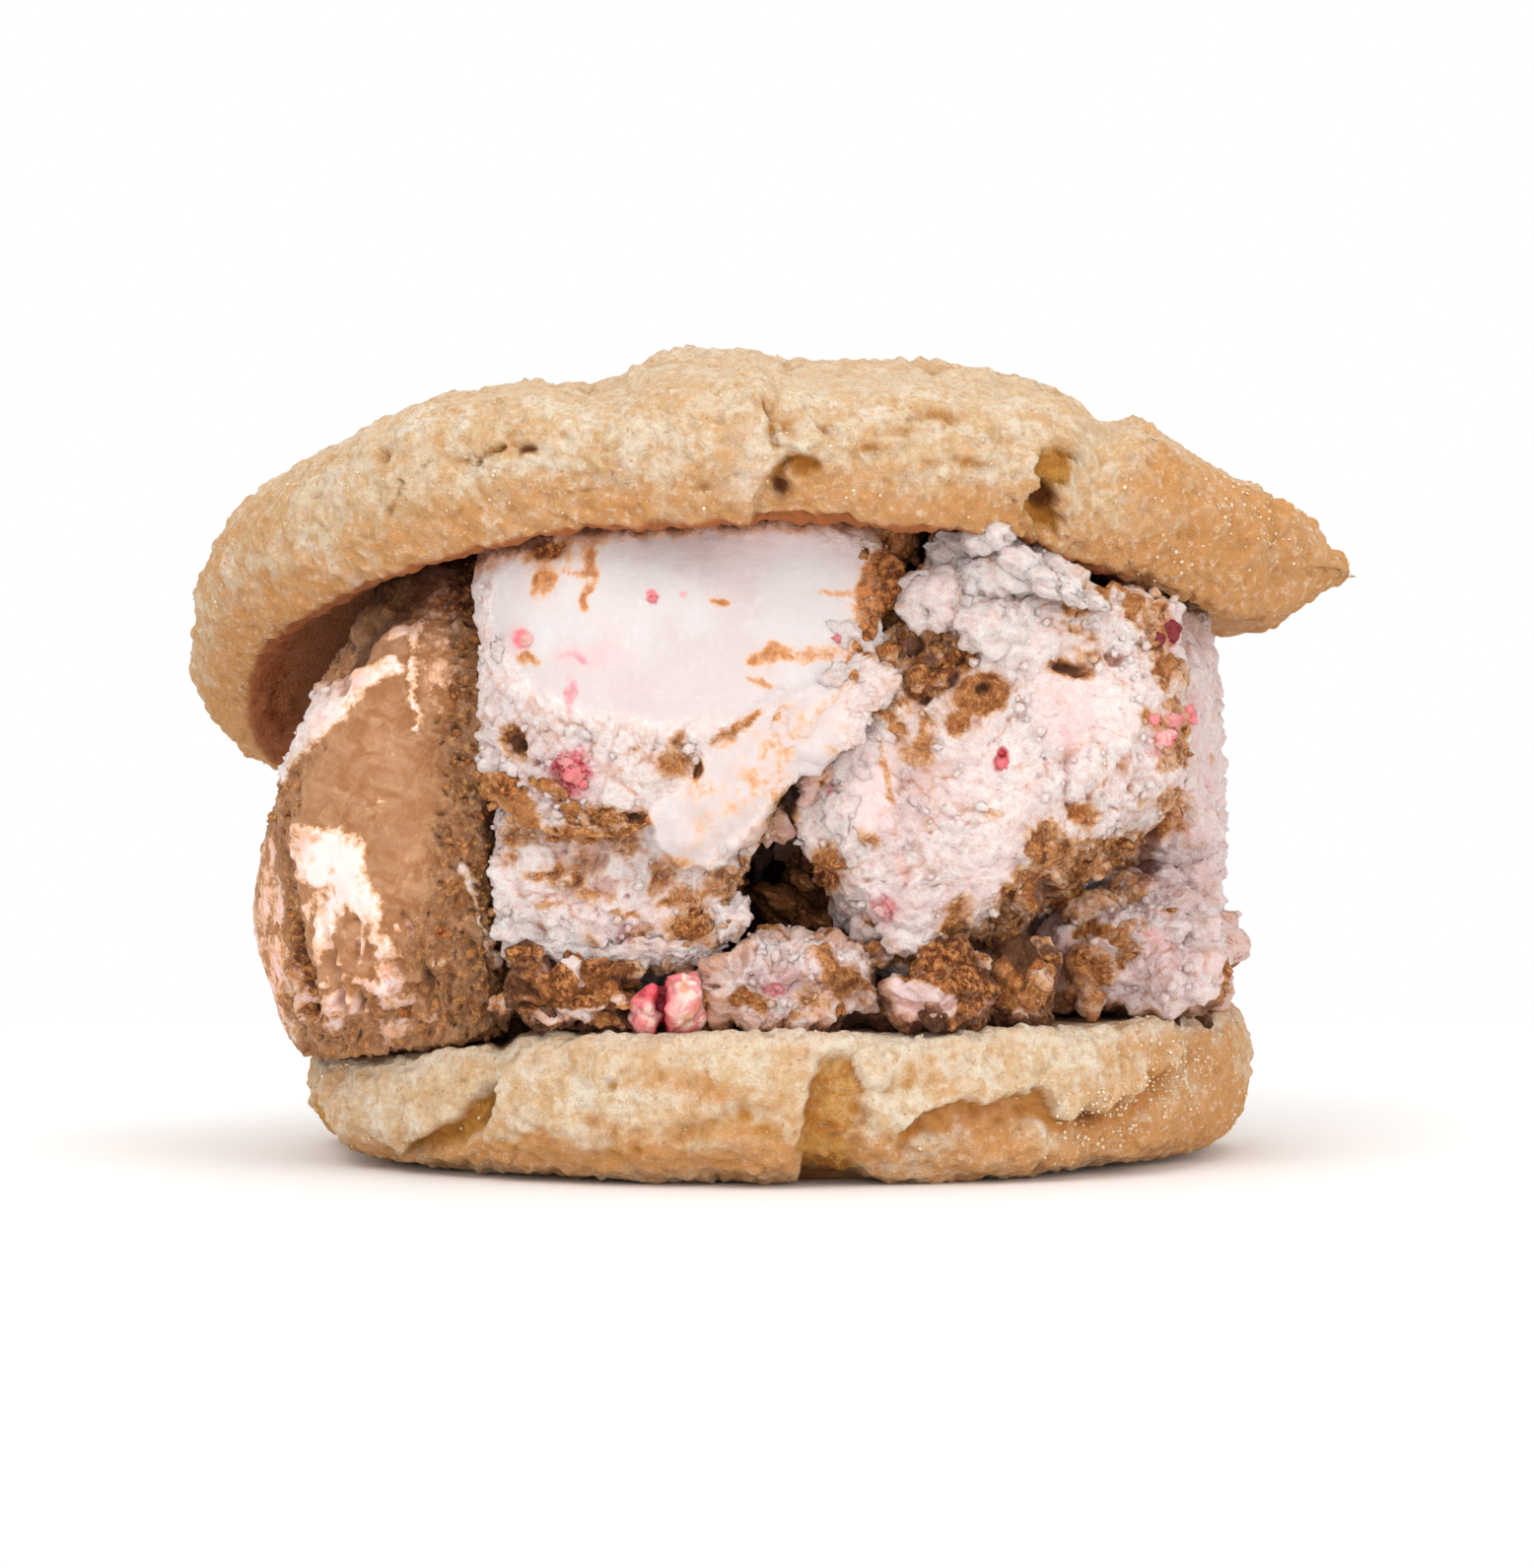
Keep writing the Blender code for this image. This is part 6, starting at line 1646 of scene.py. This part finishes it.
# bits of red fruit pressed into the ice cream
fruit_items = []
depth = Depth(["scoop_front", "scoop_right", "scoop_end"])
for x, y, r, out, fade in ((1184, 641, 14, 0.15, 0.0), (1174, 650, 9, 0.1, 0.0), (582, 786, 13, 0.35, 0.25), (574, 772, 8, 0.3, 0.4), (592, 796, 7, 0.3, 0.3), (1016, 774, 7, 0.4, 0.2), (1178, 748, 13, 0.15, 0.7), (1190, 732, 10, 0.2, 0.45), (1204, 726, 11, 0.3, 0.35), (1170, 730, 7, 0.2, 0.8), (662, 608, 5, 0.25, 0.6), (537, 650, 7, 0.2, 0.6), (850, 648, 6, 0.3, 0.6), (896, 924, 9, 0.2, 0.85)):
    surf = float(depth.at(x, y))
    a = r * STEP * (surf - EYE[1])
    v, t = PEB2
    q = v * (1 + 0.55 * perlin(v + x, 0.7, 960)[:, None]) * np.array([a, 0.7 * a, 0.85 * a])
    q = q + spot(x, y, np.array(surf + 0.7 * a - out))
    near, second, own = cells(q, 0.9, 961)
    q = q + 0.12 * (0.5 - near)[:, None] * v
    fruit_items.append((q, t, np.zeros((len(q), 3)), np.stack([np.maximum(0.5 * smooth((near - 0.45) / 0.2), 0.9 if (x, fade) in ((1184, 0.0), (1174, 0.0)) else 0.0), np.full(len(q), fade), 0 * near], 1)))
p, t, a, b = gather(fruit_items)
make_piece("red_fruit_bits", p, t, FRUIT, (), a, b)

bits = []
for name, count in (("scoop_front", 420), ("scoop_right", 560), ("scoop_left", 330), ("scoop_end", 90), ("scoop_rear", 120), ("lump_middle", 60), ("lump_end", 60)):
    host = DONE[name]
    n = normals_of(host[0], host[1])
    seen = smooth((0.3 - n[:, 1]) / 0.4) if name != "scoop_rear" else smooth((n[:, 1] + 0.3) / 0.4)
    # each point stands for its own share of the surface
    a, b, c = host[0][host[1][:, 0]], host[0][host[1][:, 1]], host[0][host[1][:, 2]]
    area = 0.5 * np.linalg.norm(np.cross(b - a, c - a), axis=1)
    share = sum(np.bincount(host[1][:, k], weights=area, minlength=len(host[0])) for k in range(3))
    bits += scatter(host, count, 0.25, 1.15, smooth((host[3][:, 1] - 0.35) / 0.4) * seen * share * (1 - smooth(host[3][:, 0] / 0.4)) + 1e-12)
host = DONE["scoop_left"]
s = Sight(host[0])
golden = s.stroke([(476, 590, 14), (470, 660, 14), (468, 720, 12), (474, 790, 12), (484, 850, 14), (504, 910, 18), (516, 980, 22)], 0.8) * smooth((0.2 - normals_of(host[0], host[1])[:, 1]) / 0.4)
golden_tint = np.stack([np.ones(len(host[0])), 0 * golden, 0 * golden], 1)
golden_form = np.stack([0 * golden, 0.6 + 0 * golden, 0.30 + 0.5 * perlin(host[0], 1.0, 981)], 1)
bits += scatter((host[0], host[1], golden_tint, golden_form), 170, 0.3, 0.8, golden + 1e-9, out=0.0)
p, t, a, b = gather(bits)
make_piece("ice_cream_crumbs", p, t, CREAM, (), a, b)

# sugar on the cookies: small square grains
cube_v = np.array([[x, y, z] for x in (-1, 1) for y in (-1, 1) for z in (-1, 1)], float)
cube_t = np.array([[0, 1, 3], [0, 3, 2], [4, 6, 7], [4, 7, 5], [0, 4, 5], [0, 5, 1], [2, 3, 7], [2, 7, 6], [0, 2, 6], [0, 6, 4], [1, 5, 7], [1, 7, 3]])
cube_t = outward(cube_v, cube_t)


def grains(host, count, weight):
    p, tris = host[0], host[1]
    n = normals_of(p, tris)
    pick = RS.choice(len(p), size=count, p=weight / weight.sum())
    items = []
    for i in pick:
        size = 0.10 + 0.20 * RS.random() ** 1.6
        q = turned(cube_v * np.array([1.0, 0.8, 0.7])) * size * 0.5
        items.append((p[i] + n[i] * size * 0.28 + q, cube_t, (0, 0, 0), (0, 0, 0)))
    return items


s = Sight(LOWER[0])
n = normals_of(LOWER[0], LOWER[1])
front = smooth((0.2 - n[:, 1]) / 0.4)
heap = s.stroke([(1090, 1138, 22), (1130, 1130, 26), (1165, 1108, 26), (1200, 1085, 24)], 0.9) * front
rimmed = smooth((LOWER[3] - 0.9) / 0.05)
patchy = smooth((perlin(LOWER[0], 6.0, 971) + 0.15) / 0.4)
sugar = grains(LOWER, 270, heap * rimmed + 1e-9) + grains(LOWER, 300, rimmed * (0.2 + smooth((s.x - 900) / 300)) * patchy + 1e-9)
s = Sight(UPPER[0])
rimmed = smooth((UPPER[3] - 0.86) / 0.05) * smooth((UPPER[2] + 1.0) / 0.1)
patchy = smooth((perlin(UPPER[0], 7.0, 972) + 0.1) / 0.4)
sugar += grains(UPPER, 430, patchy * (rimmed * (0.4 + 0.6 * smooth((s.x - 1000) / 200)) + 0.12 * smooth((UPPER[2] - 0.8) / 0.1)) + 1e-9)
p, t, a, b = gather(sugar)
make_piece("sugar_grains", p, t, SUGAR)

# =====================================================================================
# stage


def area_light(name, place, aim, size, power, colour):
    data = bpy.data.lights.new(name, "AREA")
    data.shape, data.size, data.size_y = "RECTANGLE", size[0], size[1]
    data.energy, data.color = power, colour
    obj = bpy.data.objects.new(name, data)
    bpy.context.scene.collection.objects.link(obj)
    from mathutils import Vector

    obj.location = place
    obj.rotation_euler = (Vector(aim) - Vector(place)).to_track_quat("-Z", "Y").to_euler()
    return obj


area_light("key", (-0.30, -0.60, 0.70), (0.0, 0.0, 0.03), (0.55, 0.55), 3.3, (1.0, 0.985, 0.965))
area_light("fill", (0.62, -0.60, 0.30), (0.0, 0.0, 0.03), (0.7, 0.7), 2.75, (1.0, 0.985, 0.97))
area_light("front", (-0.10, -0.85, 0.06), (0.0, 0.0, 0.035), (0.6, 0.4), 1.75, (1.0, 0.985, 0.97))
area_light("top", (0.05, 0.15, 0.85), (0.0, 0.0, 0.03), (0.8, 0.8), 2.2, (1.0, 0.99, 0.98))

world = bpy.data.worlds.new("pale_studio")
bpy.context.scene.world = world
world.use_nodes = True
wt = world.node_tree
back = wt.nodes["Background"]
back.inputs["Color"].default_value = (1.0, 0.985, 0.97, 1.0)
back.inputs["Strength"].default_value = 0.73
bright = wt.nodes.new("ShaderNodeBackground")
bright.inputs["Color"].default_value = (1.0, 1.0, 1.0, 1.0)
bright.inputs["Strength"].default_value = 1.0
ray = wt.nodes.new("ShaderNodeLightPath")
pick = wt.nodes.new("ShaderNodeMixShader")
wt.links.new(ray.outputs["Is Camera Ray"], pick.inputs["Fac"])
wt.links.new(back.outputs[0], pick.inputs[1])
wt.links.new(bright.outputs[0], pick.inputs[2])
wt.links.new(pick.outputs[0], wt.nodes["World Output"].inputs["Surface"])

floor_mat = Looks("pale_floor")
floor_mat.finish(floor_mat.mix(floor_mat.noise(60.0, 2.0), lin(252, 252, 252), lin(250, 250, 250)), 0.8, None, 0.1)
# the floor fades out around the part into the white of the studio
grad = floor_mat.new("ShaderNodeTexGradient", gradient_type="SPHERICAL")
fit = floor_mat.new("ShaderNodeMapping")
floor_mat.plug(floor_mat.where, fit.inputs["Vector"])
fit.inputs["Scale"].default_value = (4.2, 4.2, 4.2)
floor_mat.plug(fit.outputs["Vector"], grad.inputs["Vector"])
clear = floor_mat.new("ShaderNodeBsdfTransparent")
both = floor_mat.new("ShaderNodeMixShader")
floor_mat.plug(floor_mat.span(grad.outputs["Fac"], 0.02, 0.62), both.inputs["Fac"])
floor_mat.t.links.new(clear.outputs[0], both.inputs[1])
floor_mat.t.links.new(floor_mat.b.outputs[0], both.inputs[2])
floor_mat.t.links.new(both.outputs[0], floor_mat.t.nodes["Material Output"].inputs["Surface"])
floor_mesh = bpy.data.meshes.new("floor")
R = 6.0
floor_mesh.from_pydata([(-R, -R, 0), (R, -R, 0), (R, R, 0), (-R, R, 0)], [], [(0, 1, 2, 3)])
floor_mesh.materials.append(floor_mat.m)
floor = bpy.data.objects.new("floor", floor_mesh)
floor.location = (0, 0, -0.00002)
bpy.context.scene.collection.objects.link(floor)

camera = bpy.data.cameras.new("camera")
camera.sensor_width = 36.0
camera.lens = 18.0 / (795.5 * STEP)
camera.clip_start, camera.clip_end = 0.01, 50.0
cam = bpy.data.objects.new("camera", camera)
bpy.context.scene.collection.objects.link(cam)
cam.location = tuple(EYE * MM)
cam.rotation_euler = (math.radians(90), 0, 0)
bpy.context.scene.camera = cam
bpy.context.scene.view_settings.view_transform = "Standard"
bpy.context.scene.view_settings.look = "None"
